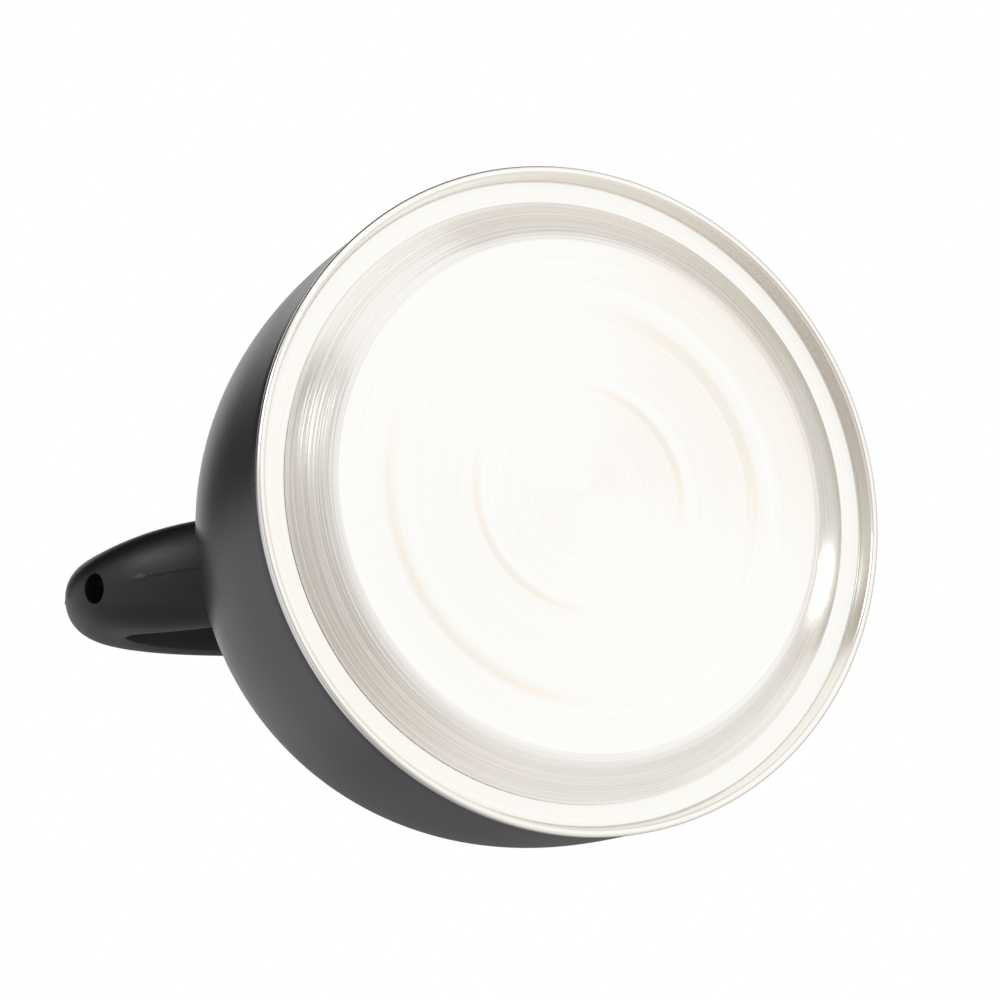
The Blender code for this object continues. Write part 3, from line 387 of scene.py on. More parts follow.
def rangeNode(tree, value, newLow, newHigh, span=noiseSpan):
    node = addNode(tree, "ShaderNodeMapRange", {1: span[0], 2: span[1], 3: newLow, 4: newHigh})
    tree.links.new(value, node.inputs[0])
    return node.outputs[0]


def mixColors(tree, share, first, second):
    node = addNode(tree, "ShaderNodeMix", data_type="RGBA")
    tree.links.new(share, node.inputs["Factor"])
    for name, color in (("A", first), ("B", second)):
        socket = next(s for s in node.inputs if s.name == name and s.type == "RGBA")
        feed(tree, color if hasattr(color, "is_output") else (*color, 1), socket)
    return next(s for s in node.outputs if s.type == "RGBA")


def turnedSteel(name, look):
    material, tree, shader = startMaterial(name, metallic=1.0)
    lines = useGroup(tree, lineGroup, {"Fineness": look["fineness"], "Streak": look["streak"],
                                       "Depth": look["depth"], "Rise": look.get("rise", -1.0)})
    dark, light = look["dark"], look["light"]
    color = rampNode(tree, lines.outputs["Lines"], [(0.32, dark), (0.66, light)])
    tree.links.new(color, shader.inputs["Base Color"])
    rough = rangeNode(tree, lines.outputs["Bands"], *look["rough"])
    tree.links.new(rough, shader.inputs["Roughness"])
    tree.links.new(lines.outputs["Normal"], shader.inputs["Normal"])
    if look.get("anisotropy"):
        shader.inputs["Anisotropic"].default_value = look["anisotropy"]
        shader.inputs["Anisotropic Rotation"].default_value = look["turn"]
        tangent = addNode(tree, "ShaderNodeTangent", direction_type="RADIAL", axis="Z")
        tree.links.new(tangent.outputs[0], shader.inputs["Tangent"])
    return material


def straightSteel(name, look):
    material, tree, shader = startMaterial(name, metallic=1.0)
    lines = useGroup(tree, straightGroup, {"Fineness": look["fineness"], "Depth": look["depth"]})
    color = rampNode(tree, lines.outputs["Lines"], [(0.35, look["dark"]), (0.65, look["light"])])
    tree.links.new(color, shader.inputs["Base Color"])
    rough = rangeNode(tree, lines.outputs["Lines"], *look["rough"])
    tree.links.new(rough, shader.inputs["Roughness"])
    tree.links.new(lines.outputs["Normal"], shader.inputs["Normal"])
    return material


def skinFinish(name, look):
    material, tree, shader = startMaterial(name, specular=look["specular"])
    skin = useGroup(tree, skinGroup, {"Grain": look["grain"], "Grain Depth": look["grainDepth"],
                                      "Ripple": look["ripple"], "Ripple Depth": look["rippleDepth"]})
    color = rampNode(tree, skin.outputs["Cloud"], [(0.3, look["dark"]), (0.7, look["light"])])
    tree.links.new(color, shader.inputs["Base Color"])
    cloudy = rangeNode(tree, skin.outputs["Cloud"], *look["rough"])
    speckled = rangeNode(tree, skin.outputs["Speckle"], -look["speckle"], look["speckle"])
    tree.links.new(mathNode(tree, "ADD", cloudy, speckled), shader.inputs["Roughness"])
    tree.links.new(skin.outputs["Normal"], shader.inputs["Normal"])
    return material


finishes = {
    "flat": {"fineness": 1300, "streak": 0.5, "depth": 0.25, "rise": 1.2, "dark": (0.988, 0.980, 0.958),
             "light": (1.0, 1.0, 0.985), "rough": (0.19, 0.24), "anisotropy": 0.8, "turn": 0.25},
    "slope": {"fineness": 1500, "streak": 0.5, "depth": 1.1, "rise": 1.2, "dark": (0.885, 0.868, 0.840),
              "light": (0.995, 0.985, 0.965), "rough": (0.17, 0.24), "anisotropy": 0.8, "turn": 0.25},
    "pan": {"fineness": 1500, "streak": 0.5, "depth": 0.08, "dark": (0.96, 0.945, 0.90),
            "light": (0.995, 0.985, 0.955), "rough": (0.16, 0.22), "anisotropy": 0.5, "turn": 0.25},
    "steel": {"fineness": 2600, "streak": 1.6, "depth": 0.06, "dark": (0.62, 0.61, 0.59),
              "light": (0.72, 0.71, 0.69), "rough": (0.22, 0.32)},
    "fixing": {"fineness": 2400, "depth": 0.3, "dark": (0.50, 0.49, 0.47), "light": (0.62, 0.61, 0.59),
               "rough": (0.26, 0.38)},
    "aluminium": {"fineness": 1800, "streak": 1.2, "depth": 0.1, "dark": (0.70, 0.70, 0.71),
                  "light": (0.80, 0.80, 0.81), "rough": (0.34, 0.44)},
    "paint": {"specular": 0.5, "grain": 1700, "grainDepth": 0.02, "ripple": 210, "rippleDepth": 0.004,
              "dark": (0.016, 0.016, 0.0175), "light": (0.020, 0.020, 0.022), "rough": (0.25, 0.30),
              "speckle": 0.005},
    "plastic": {"specular": 0.5, "grain": 1700, "grainDepth": 0.9, "ripple": 260, "rippleDepth": 0.03,
                "dark": (0.004, 0.004, 0.0045), "light": (0.007, 0.007, 0.0075), "rough": (0.33, 0.42),
                "speckle": 0.05},
    "seal": {"specular": 0.4, "grain": 1500, "grainDepth": 0.3, "ripple": 200, "rippleDepth": 0.05,
             "dark": (0.11, 0.11, 0.11), "light": (0.15, 0.15, 0.148), "rough": (0.6, 0.75), "speckle": 0.03},
}
flatSteel = turnedSteel("polishedFlat", finishes["flat"])
slopeSteel = turnedSteel("brushedSlope", finishes["slope"])
aluminium = turnedSteel("aluminium", finishes["aluminium"])
panSteel = turnedSteel("pressedPan", finishes["pan"])
plainSteel = turnedSteel("turnedSteel", finishes["steel"])
fixingSteel = straightSteel("fixingSteel", finishes["fixing"])
paint = skinFinish("satinPaint", finishes["paint"])
plastic = skinFinish("mouldedBlack", finishes["plastic"])
sealRubber = skinFinish("sealRubber", finishes["seal"])
print("materials made")


# Body: drawn dome with an upright edge, painted outside and bare inside

dome = {"radius": 0.1000, "wall": 0.0010, "spring": 0.0250, "rise": 0.1120, "fullness": 2.6,
        "mouth": 0.0430, "edgeTop": 0.0043, "edgeLow": 0.0028, "edgeOut": 0.0995, "edgeIn": 0.0989,
        "wallFoot": 0.0086, "footBand": 0.0005, "edgeRound": 0.0002, "crowding": 1.15}


def domeZ(radius, inset=0.0):
    share = 1 - (radius / (dome["radius"] - inset)) ** dome["fullness"]
    return dome["spring"] + (dome["rise"] - inset) * max(share, 0.0) ** (1 / dome["fullness"])


def domeLine(endRadius, inset=0.0):
    reach, rise, power = dome["radius"] - inset, dome["rise"] - inset, 2 / dome["fullness"]
    last = acos((endRadius / reach) ** (dome["fullness"] / 2))
    angles = [last * (i / steps["dome"]) ** dome["crowding"] for i in range(1, steps["dome"])]
    line = [(reach, dome["spring"])]
    line += [(reach * cos(a) ** power, dome["spring"] + rise * sin(a) ** power) for a in angles]
    return line + [(endRadius, domeZ(endRadius, inset))]


def domeTool(gap):
    # the dome as a cutter, grown by the gap
    foot = dome["spring"] / 2
    line = [(0, foot), (dome["radius"] + gap, foot)] + domeLine(dome["mouth"], -gap)
    return turned(line + [(0, line[-1][1])], steps["round"])


spout = {"foot": (0.0860, 0, 0.097639), "angle": 48.0, "length": 0.0460, "root": 0.0210, "mouth": 0.0160,
         "flare": 1.6, "wall": 0.0010, "buried": 0.0250, "lip": 0.00042, "weld": 0.0012, "weldFacets": 4,
         "strainer": 0.0180, "strainerReach": 0.04, "gap": 0.0003}
spoutFrame = Matrix.Translation(spout["foot"]) @ Matrix.Rotation(radians(90 - spout["angle"]), 4, "Y")
spoutAxis = Vector((cos(radians(spout["angle"])), 0, sin(radians(spout["angle"]))))

wallRows = [(dome["radius"], dome["edgeTop"] + (dome["spring"] - dome["edgeTop"]) * i / 4) for i in range(4)]
innerRows = [(dome["radius"] - dome["wall"], dome["spring"] + (dome["wallFoot"] - dome["spring"]) * i / 3)
             for i in range(1, 4)]
profile = [(dome["edgeIn"], dome["edgeLow"]), (dome["edgeOut"], dome["edgeLow"]),
           (dome["edgeOut"], dome["edgeTop"])] + wallRows + domeLine(dome["mouth"])
profile += list(reversed(domeLine(dome["mouth"], dome["wall"]))) + innerRows
body = makeObject("domeBody", turned(profile, steps["round"], rounding=[
    (dome["radius"], dome["edgeTop"], dome["edgeRound"])]))
carve(body, [rod(spout["foot"], spoutAxis, spout["strainer"], spout["strainerReach"])])
fitPiece(body, "kettle", ["body_shell"], "satin_black_paint", paint, plainSteel)
bareFrom = dome["wallFoot"] - dome["footBand"]
for face in body.data.polygons:   # the inside stays bare steel
    radius, height = hypot(face.center.x, face.center.y), face.center.z
    outward = face.normal.dot(Vector((face.center.x, face.center.y, max(0.0, height - dome["spring"]))))
    face.material_index = 0 if outward > 0 or height < bareFrom else 1
print("body made")


# Base: pressed pan with a rolled rim, and the brushed capsule disc

base = {"rimIn": 0.0970, "wallFoot": 0.0979, "lipOut": 0.1003, "lipIn": 0.0998, "lipTop": 0.0040,
        "panZ": 0.0076, "panWall": 0.0010, "beadLow": 0.0015, "beadRound": 0.0011, "channel": 0.0025,
        "channelIn": 0.0986, "corner": 0.0009, "lipRound": 0.0002, "discFlat": 0.0780, "discOut": 0.0907,
        "discHigh": 0.0073, "discRound": 0.0004, "skin": 0.0009, "fold": 0.0024,
        "grooves": ((0.0330, 0.0070, 0.00035), (0.0586, 0.0110, 0.0006))}   # radius, width and depth of each
pan = [(base["rimIn"] * i / 6, base["panZ"]) for i in range(7)]
panTop = base["panZ"] + base["panWall"]
beadMiddle = (base["wallFoot"] + base["lipOut"]) / 2
beadHalf = (base["lipOut"] - base["wallFoot"]) / 2
for i in range(steps["rim"] + 1):
    angle = pi + pi * i / steps["rim"]
    pan.append((beadMiddle + beadHalf * cos(angle), base["beadLow"] + base["beadRound"] * (1 + sin(angle))))
pan += [(base["lipOut"], base["lipTop"]), (base["lipIn"], base["lipTop"]), (base["lipIn"], base["channel"]),
        (base["channelIn"], base["channel"]), (base["rimIn"] + base["panWall"], panTop), (0, panTop)]
panPiece = makeObject("rimPan", turned(pan, steps["round"], rounding=[
    (base["rimIn"], base["panZ"], base["corner"]), (base["lipOut"], base["lipTop"], base["lipRound"])]))
fitPiece(panPiece, "kettle", ["base_pan"], "stainless_steel", panSteel)

disc = [(0, 0)]
for radius, width, depth in base["grooves"]:
    for i in range(steps["groove"] + 1):
        wave = 0.5 - 0.5 * cos(2 * pi * i / steps["groove"])
        disc.append((radius + width * (i / steps["groove"] - 0.5), depth * wave))
disc += [(base["discFlat"], 0), (base["discOut"], base["discHigh"]),
         (base["discOut"] - 2 * base["skin"], base["discHigh"]),
         (base["discFlat"] - base["skin"] / 2, base["skin"]), (0, base["skin"])]
discPiece = makeObject("capsuleDisc", turned(disc, steps["round"], rounding=[
    (base["discFlat"], 0, base["fold"]), (base["discOut"], base["discHigh"], base["discRound"])]))
fitPiece(discPiece, "kettle", ["base_disc"], "stainless_steel", flatSteel, slopeSteel)
slopeFrom = base["discFlat"] - base["fold"] / 2
for face in discPiece.data.polygons:
    face.material_index = 1 if hypot(face.center.x, face.center.y) > slopeFrom else 0
print("base made")


# Mouth ring, lid and knob

mouth = {"flangeOut": 0.0490, "skirtOut": 0.0427, "skirtIn": 0.0417, "depth": 0.0100, "wall": 0.0010,
         "gap": 0.0003, "flangeRound": 0.0004, "lowRound": 0.0003, "bend": 0.0006}
mouthZ = domeZ(dome["mouth"])
edgeZ = domeZ(mouth["flangeOut"]) + mouth["gap"]
ringTop = mouthZ + mouth["gap"] + mouth["wall"]
ringLow = mouthZ - mouth["depth"]
ringBend = mouthZ + mouth["gap"]
ring = [(mouth["skirtIn"], ringLow), (mouth["skirtOut"], ringLow), (mouth["skirtOut"], ringBend),
        (dome["mouth"], ringBend), (mouth["flangeOut"], edgeZ),
        (mouth["flangeOut"], edgeZ + mouth["wall"]), (dome["mouth"], ringTop), (mouth["skirtIn"], ringTop)]
ringPiece = makeObject("mouthRing", turned(ring, steps["round"], rounding=[
    (mouth["flangeOut"], edgeZ + mouth["wall"], mouth["flangeRound"]),
    (mouth["flangeOut"], edgeZ, mouth["lowRound"]), (mouth["skirtIn"], ringTop, mouth["bend"]),
    (mouth["skirtIn"], ringLow, mouth["lowRound"])]))
fitPiece(ringPiece, "kettle", ["mouth_ring"], "stainless_steel", plainSteel)

lid = {"edge": 0.0475, "bowl": 0.0440, "wall": 0.0012, "rise": 0.0100, "hole": 0.0023, "gap": 0.0003,
       "roundTop": 0.00045, "roundUnder": 0.0004, "bend": 0.0012, "skirtOut": 0.0412, "skirtIn": 0.0402,
       "skirtDepth": 0.0120, "skirtFlange": 0.0362, "skirtWall": 0.0010, "skirtRound": 0.0003,
       "skirtBend": 0.0005}
lidLow = ringTop + lid["gap"]


def lidZ(radius):
    return lidLow + lid["wall"] + lid["rise"] * max(0.0, 1 - (radius / lid["bowl"]) ** 2)


radii = [lid["bowl"] + (lid["hole"] - lid["bowl"]) * i / steps["lid"] for i in range(steps["lid"] + 1)]
shell = [(lid["edge"], lidLow), (lid["edge"], lidLow + lid["wall"])] + [(r, lidZ(r)) for r in radii]
shell += [(r, lidZ(r) - lid["wall"]) for r in reversed(radii)]
lidPiece = makeObject("lidDome", turned(shell, steps["round"], rounding=[
    (lid["edge"], lidLow + lid["wall"], lid["roundTop"]), (lid["edge"], lidLow, lid["roundUnder"]),
    (lid["bowl"], lidZ(lid["bowl"]), lid["bend"])]))
fitPiece(lidPiece, "lid", ["lid_shell"], "satin_black_paint", paint)

skirtTop = lidZ(lid["skirtOut"]) - lid["wall"] - lid["gap"]
skirtLow = ringTop - lid["skirtDepth"]
skirt = [(lid["skirtIn"], skirtLow), (lid["skirtOut"], skirtLow), (lid["skirtOut"], skirtTop),
         (lid["skirtFlange"], skirtTop), (lid["skirtFlange"], skirtTop - lid["skirtWall"]),
         (lid["skirtIn"], skirtTop - lid["skirtWall"])]
skirtPiece = makeObject("lidSkirt", turned(skirt, steps["round"], rounding=[
    (lid["skirtOut"], skirtLow, lid["skirtRound"]), (lid["skirtOut"], skirtTop, lid["skirtBend"])]))
fitPiece(skirtPiece, "lid", ["lid_skirt"], "stainless_steel", plainSteel)

knob = {"radius": 0.0160, "height": 0.0240, "washer": 0.0115, "washerThick": 0.0012, "roundTop": 0.0004,
        "roundUnder": 0.0002, "gap": 0.0003, "screwHole": 0.0123, "footRound": 0.0005,
        "shape": ((0.59, 0.0), (0.53, 0.10), (0.53, 0.25), (0.68, 0.385), (0.86, 0.52), (1.0, 0.66),
                  (0.995, 0.78), (0.88, 0.895), (0.55, 0.975), (0.25, 0.998), (0, 1.0))}
washerZ = lidLow + lid["wall"] + lid["rise"] + knob["gap"]
washerTop = washerZ + knob["washerThick"]
washer = [(lid["hole"], washerZ), (knob["washer"], washerZ), (knob["washer"], washerTop),
          (lid["hole"], washerTop)]
washerPiece = makeObject("knobWasher", turned(washer, steps["washer"], rounding=[
    (knob["washer"], washerTop, knob["roundTop"]), (knob["washer"], washerZ, knob["roundUnder"])]))
fitPiece(washerPiece, "lid", ["knob_washer"], "stainless_steel", plainSteel)
knobZ = washerTop + knob["gap"]
holeTop = knobZ + knob["screwHole"]
shape = [(knob["radius"] * r, knobZ + knob["height"] * z) for r, z in knob["shape"]]
outline = smoothLine(shape, steps["span"])
knobLine = [(lid["hole"], knobZ)] + outline + [(0, holeTop), (lid["hole"], holeTop)]
knobPiece = makeObject("lidKnob", turned(knobLine, steps["knob"], rounding=[
    (outline[0][0], knobZ, knob["footRound"])]), sharp=edgeAngle["knob"])
fitPiece(knobPiece, "lid", ["lid_knob"], "black_bakelite", plastic)
print("lid made")


# Handle: one black moulding with a hanging hole behind and a slot for the trigger in front

handle = {
    "rear": ((-0.0840, 0.100968), (-0.102451, 0.112950), (-0.1150, 0.128025), (-0.1150, 0.148025)),
    "archRear": ((-0.1150, 0.148025), (-0.1150, 0.183795), (-0.0621, 0.221025), (0.0, 0.221025)),
    "archFront": ((0.0, 0.221025), (0.036025, 0.221025), (0.0655, 0.195985), (0.0655, 0.158425)),
    "widths": (0.0172, 0.0140, 0.0160, 0.0150), "depths": (0.0125, 0.0170, 0.0155, 0.0125),
    "fullness": 2.2, "innerRound": 0.0015, "buried": 0.0120, "trim": 0.00045, "perCurve": (26, 30, 26),
    "holeCenter": (-0.103907, 0, 0.134481), "holeWay": (0.92759, 0, 0.37359), "holeRadius": 0.0048,
    "holeReach": 0.06, "holeFlare": 0.0015, "flareAt": 0.0074,
    "ridgeHalf": 0.00036, "ridgeTop": 0.00010, "ridgeHigh": 0.00022, "ridgeStop": 0.0165, "ridgeFade": 0.004,
    "slotHalf": 0.0055, "slotLow": 0.150681, "slotHigh": 0.190025, "slotBack": 0.0315, "slotFront": 0.0755,
    "pinBore": 0.0018, "pinReach": 0.0266,
}


def bezierPoint(a, b, c, d, t):
    a, b, c, d = (Vector(p) for p in (a, b, c, d))
    u = 1 - t
    spot = a * u ** 3 + b * 3 * u * u * t + c * 3 * u * t * t + d * t ** 3
    slope = (b - a) * u * u + (c - b) * 2 * u * t + (d - c) * t * t
    return spot, slope.normalized()


def ease(start, end, t):
    return start + (end - start) * (3 - 2 * t) * t * t


def handleRing(spot, heading, half, depth, ridge):
    # D-shaped: full and round outside, flat with rounded corners inside, a fine parting ridge outside
    inward, power, ring = Vector((heading.y, -heading.x)), 2 / handle["fullness"], []
    count, corner = steps["grip"], handle["innerRound"]
    wide, narrow = handle["ridgeHalf"], handle["ridgeTop"]

    def put(side, sunk):
        place = spot + inward * sunk
        ring.append((place.x, side, place.y))

    for i in range(count + 1):
        angle = pi * i / count
        if 2 * i == count:
            for side, lift in ((wide, 0), (narrow, ridge), (-narrow, ridge), (-wide, 0)):
                put(side, -lift)
        else:
            side = half * abs(cos(angle)) ** power * (1 if 2 * i < count else -1)
            put(side, depth * (1 - sin(angle) ** power) if 0 < i < count else depth)
    bends = [radians(a) for a in (22.5, 45, 67.5, 90)]
    for sign, order in ((-1, bends), (1, bends[::-1])):
        for a in order:
            put(sign * (half - corner * (1 - cos(a))), depth + corner * sin(a))
        if sign < 0:
            for share in (-0.6, -0.2, 0.2, 0.6):
                put(share * (half - corner), depth + corner)
    return ring


def handleStations():
    stations = []
    widths, depths = handle["widths"], handle["depths"]
    for k, name in enumerate(("rear", "archRear", "archFront")):
        count = handle["perCurve"][k]
        for i in range(0 if k == 0 else 1, count + 1):
            t = i / count
            spot, heading = bezierPoint(*handle[name], t)
            away = (Vector((spot.x, 0, spot.y)) - Vector(handle["holeCenter"])).length
            fade = min(1.0, max(0.0, (away - handle["ridgeStop"]) / handle["ridgeFade"]))
            width, depth = ease(widths[k], widths[k + 1], t), ease(depths[k], depths[k + 1], t)
            stations.append((spot, heading, width, depth, handle["ridgeHigh"] * fade))
    first, last = stations[0], stations[-1]
    start = (first[0] - first[1] * handle["buried"],) + first[1:]
    gap = domeZ(last[0].x) - handle["buried"] - last[0].y
    drop = [Vector((last[0].x, last[0].y + gap * i / steps["drop"])) for i in range(1, steps["drop"] + 1)]
    return [start] + stations + [(spot,) + last[1:] for spot in drop]


grip = bmesh.new()
loops = []
for station in handleStations():
    ring = [grip.verts.new(co) for co in handleRing(*station)]
    loops.append([grip.edges.new(pair) for pair in zip(ring, ring[1:] + ring[:1])])
for near, far in zip(loops, loops[1:]):
    bmesh.ops.bridge_loops(grip, edges=near + far)
bmesh.ops.edgeloop_fill(grip, edges=loops[0])
bmesh.ops.edgeloop_fill(grip, edges=loops[-1])
handlePiece = makeObject("handleMoulding", grip)

screws = {"rear": {"seat": (-0.087125, 0, 0.116353), "way": (-0.54464, 0, -0.83867)},
          "front": {"seat": (0.0627, 0, 0.136367), "way": (-1, 0, 0)}}
screw = {"radius": 0.0020, "head": 0.0036, "headHigh": 0.0022, "rimShare": 0.35, "reach": 0.0090,
         "hole": 0.0023, "slack": 0.0006, "well": 0.0042, "wellDeep": 0.010, "gap": 0.0003,
         "slotWidth": 0.0009, "slotDeep": 0.0008, "soft": 0.00012}
pivot = Vector((0.05775, 0, 0.180025))   # the trigger turns here
cuts = [domeTool(handle["trim"]),
        block((handle["slotBack"], -handle["slotHalf"], handle["slotLow"]),
              (handle["slotFront"], handle["slotHalf"], handle["slotHigh"])),
        crossHole(pivot, handle["pinBore"], handle["pinReach"]),
        rod(handle["holeCenter"], handle["holeWay"], handle["holeRadius"], handle["holeReach"], steps["hole"],
            handle["holeFlare"], handle["flareAt"])]
for line in screws.values():
    seat, way = Vector(line["seat"]), Vector(line["way"])
    cuts.append(rod(seat + way * screw["reach"] / 2, way, screw["hole"], screw["reach"] + screw["slack"],
                    steps["screwHole"]))
    cuts.append(rod(seat - way * screw["wellDeep"] / 2, way, screw["well"], screw["wellDeep"]))
carve(handlePiece, cuts)
fitPiece(handlePiece, "kettle", ["handle"], "black_bakelite", plastic)
handlePiece.data.set_sharp_from_angle(angle=radians(edgeAngle["grip"]))
print("handle made")


# Screws and pins

def screwPiece(name, seat, way, node):
    turn, head, tall, rim = aimed(seat, way), screw["head"], screw["headHigh"], screw["rimShare"]
    line = [(head * sin(a), -tall * (rim + (1 - rim) * cos(a))) for a in quarterTurn(steps["arc"])]
    foot = screw["reach"] - screw["gap"]
    line += [(head, -screw["gap"]), (screw["radius"], -screw["gap"]), (screw["radius"], foot), (0, foot)]
    piece = makeObject(name, turned(line, steps["bar"], turn))
    slot = block((-2 * head, -screw["slotWidth"] / 2, -tall - screw["slotDeep"]),
                 (2 * head, screw["slotWidth"] / 2, -tall + screw["slotDeep"]))
    bmesh.ops.transform(slot, matrix=turn, verts=slot.verts)
    carve(piece, [slot])
    softenEdges(piece, screw["soft"], segments=2)
    fitPiece(piece, "kettle", [node], "stainless_steel", fixingSteel)


for end, line in screws.items():
    screwPiece(end + "Screw", line["seat"], line["way"], end + "_screw")


pin = {"roundShare": 0.25, "rimTurn": 1}   # the rim's rounding in radii, and how far in radians a rim turns


def pinPiece(name, node, center, radius, half, body):
    place = Matrix.Translation(center) @ Matrix.Rotation(radians(-90), 4, "X")
    bm = bar(radius, -half, half, steps["pin"], place)
    rims = [e for e in bm.edges if e.calc_face_angle(0) > pin["rimTurn"]]
    roundEdges(bm, rims, radius * pin["roundShare"], 3)
    fitPiece(makeObject(name, bm), body, [node], "stainless_steel", fixingSteel)


link = {"arm": (0.059252, 0.160081), "horn": (0.102899, 0.154737), "half": 0.0010, "eye": 0.0034,
        "slack": 0.0011, "pin": 0.0012, "rearHalf": 0.0043, "gap": 0.0003, "fork": 0.0004, "cutHalf": 0.002,
        "holeReach": 0.010, "soft": 0.00025}
flap = {"hinge": (0.098647, 0.146805), "hingePin": 0.0015, "pinHalf": 0.0096, "hub": 0.0040,
        "hubHalf": 0.0060, "hornHalf": 0.0043, "radius": 0.0186, "height": 0.0115, "wall": 0.0023,
        "roof": 0.0020, "shoulder": 0.0030, "outlet": 0.0035, "webRise": 0.0048, "webRadius": 0.0028,
        "gap": 0.0003, "cavity": 0.0075, "stepShare": 0.7, "cutFrom": 0.036, "forkFrom": -0.55, "soft": 0.0004}
arm, horn, hinge = (Vector((p[0], 0, p[1])) for p in (link["arm"], link["horn"], flap["hinge"]))
pinPiece("flapPin", "flap_pin", hinge, flap["hingePin"], flap["pinHalf"], "kettle")
pinPiece("linkPinFront", "link_pin_front", horn, link["pin"], flap["hornHalf"], "flap")
pinPiece("linkPinRear", "link_pin_rear", arm, link["pin"], link["rearHalf"], "trigger")
print("fixings made")


# Spout, its weld to the dome and the collar that carries the flap

def spoutRadius(s):
    return spout["mouth"] + (spout["root"] - spout["mouth"]) * (1 - s / spout["length"]) ** spout["flare"]


blank = spout["length"] + spout["buried"]
rows = [spout["length"] - blank * i / steps["tube"] for i in range(steps["tube"] + 1)]
tube = [(spoutRadius(s), s) for s in rows] + [(spoutRadius(s) - spout["wall"], s) for s in reversed(rows)]
lipRadius = spoutRadius(rows[0])
spoutPiece = makeObject("spoutTube", turned(tube, steps["spout"], spoutFrame, rounding=[
    (lipRadius, rows[0], spout["lip"]), (lipRadius - spout["wall"], rows[0], spout["lip"])]))
carve(spoutPiece, [domeTool(spout["gap"])])
fitPiece(spoutPiece, "kettle", ["spout_tube"], "satin_black_paint", paint)


def weldSpot(angle):
    # where the spout's outside meets the dome, on this line along the spout
    low, high = -spout["buried"], spout["length"]
    for _ in range(40):
        s = (low + high) / 2
        spot = spoutFrame @ Vector((spoutRadius(s) * cos(angle), spoutRadius(s) * sin(angle), s))
        reach = hypot(spot.x, spot.y)
        inside = reach < dome["radius"] and spot.z < domeZ(min(reach, dome["radius"]))
        low, high = (s, high) if inside else (low, s)
    return spot


weldCurve = bpy.data.curves.new("spoutWeld", "CURVE")
weldCurve.dimensions, weldCurve.bevel_depth = "3D", spout["weld"]
weldCurve.bevel_resolution = spout["weldFacets"]
line = weldCurve.splines.new("POLY")
line.points.add(steps["weld"] - 1)
line.use_cyclic_u = True
for i, point in enumerate(line.points):
    point.co = (*weldSpot(2 * pi * i / steps["weld"]), 1)
weldSource = bpy.data.objects.new("spoutWeldLine", weldCurve)
scene.collection.objects.link(weldSource)
bpy.context.view_layer.update()
bead = bmesh.new()
bead.from_mesh(weldSource.to_mesh())
weldSource.to_mesh_clear()
bpy.data.objects.remove(weldSource)
fitPiece(makeObject("spoutWeld", bead), "kettle", [], "satin_black_paint", paint)

collar = {"low": 0.0340, "high": 0.0400, "wall": 0.0025, "ear": 0.0040, "earThick": 0.0027, "gap": 0.0003,
          "cutLow": 0.024, "cutHigh": 0.056, "soft": 0.0005}
bore = spoutRadius(collar["low"]) + collar["gap"]
outer = bore + collar["wall"]
root = spoutFrame @ Vector((-(bore + outer) / 2, 0, (collar["low"] + collar["high"]) / 2))
band = [(bore, collar["low"]), (outer, collar["low"]), (outer, collar["high"]), (bore, collar["high"])]
collarPiece = makeObject("spoutCollar", turned(band, steps["collar"], spoutFrame))
near = flap["hubHalf"] + collar["gap"]
far = near + collar["earThick"]
ears = [strap((root.x, root.z), collar["earThick"], flap["hinge"], collar["ear"], low, high)
        for low, high in ((near, far), (-far, -near))]
carve(collarPiece, ears, "UNION")
carve(collarPiece, [bar(bore, collar["cutLow"], collar["cutHigh"], steps["collar"], spoutFrame),
                    crossHole(hinge, flap["hingePin"] + collar["gap"])])
softenEdges(collarPiece, collar["soft"], segments=3)
fitPiece(collarPiece, "kettle", ["spout_collar"], "black_bakelite", plastic)
print("spout made")


# Whistle flap, trigger and the strip between them

capLow = spout["length"] + flap["gap"]
capTop = capLow + flap["height"]
capBore = flap["radius"] - flap["wall"]
stepBore, roofUnder, cavity = capBore * flap["stepShare"], capTop - flap["roof"], capLow + flap["cavity"]
capLine = [(flap["outlet"], capTop), (flap["outlet"], roofUnder), (stepBore, roofUnder), (stepBore, cavity),
           (capBore, cavity), (capBore, capLow), (flap["radius"], capLow)]
capLine += [(flap["radius"] - flap["shoulder"] * (1 - cos(a)), capTop - flap["shoulder"] * (1 - sin(a)))
            for a in quarterTurn(steps["shoulder"])]
capPiece = makeObject("whistleCap", turned(capLine, steps["cap"], spoutFrame))
wall = spoutFrame @ Vector((-(flap["radius"] - flap["wall"] / 2), 0, capLow + flap["webRise"]))
hub, hubHalf, hornHalf = flap["hub"], flap["hubHalf"], flap["hornHalf"]
carve(capPiece, [strap(flap["hinge"], hub, (wall.x, wall.z), flap["webRadius"], -hubHalf, hubHalf),
                 strap(flap["hinge"], hub, link["horn"], link["eye"], -hornHalf, hornHalf)], "UNION")


def forkTool():
    # room that the link's eye sweeps in the horn
    reach = link["eye"] + link["slack"] + link["fork"]
    hornX, hornZ = link["horn"]
    farX, upZ, start = hornX - 4 * reach, hornZ + 2 * reach, pi * flap["forkFrom"]
    turns = [start + (pi / 2 - start) * i / steps["fork"] for i in range(steps["fork"] + 1)]
    line = [(hornX + reach * cos(a), hornZ + reach * sin(a)) for a in turns]
    line += [(hornX, upZ), (farX, upZ), (farX, line[0][1])]
    half = link["half"] + link["fork"]
    bm = bmesh.new()
    face = bm.faces.new([bm.verts.new((x, -half, z)) for x, z in line])
    grown = bmesh.ops.extrude_face_region(bm, geom=[face])
    moved = [g for g in grown["geom"] if isinstance(g, bmesh.types.BMVert)]
    bmesh.ops.translate(bm, verts=moved, vec=(0, 2 * half, 0))
    return bm


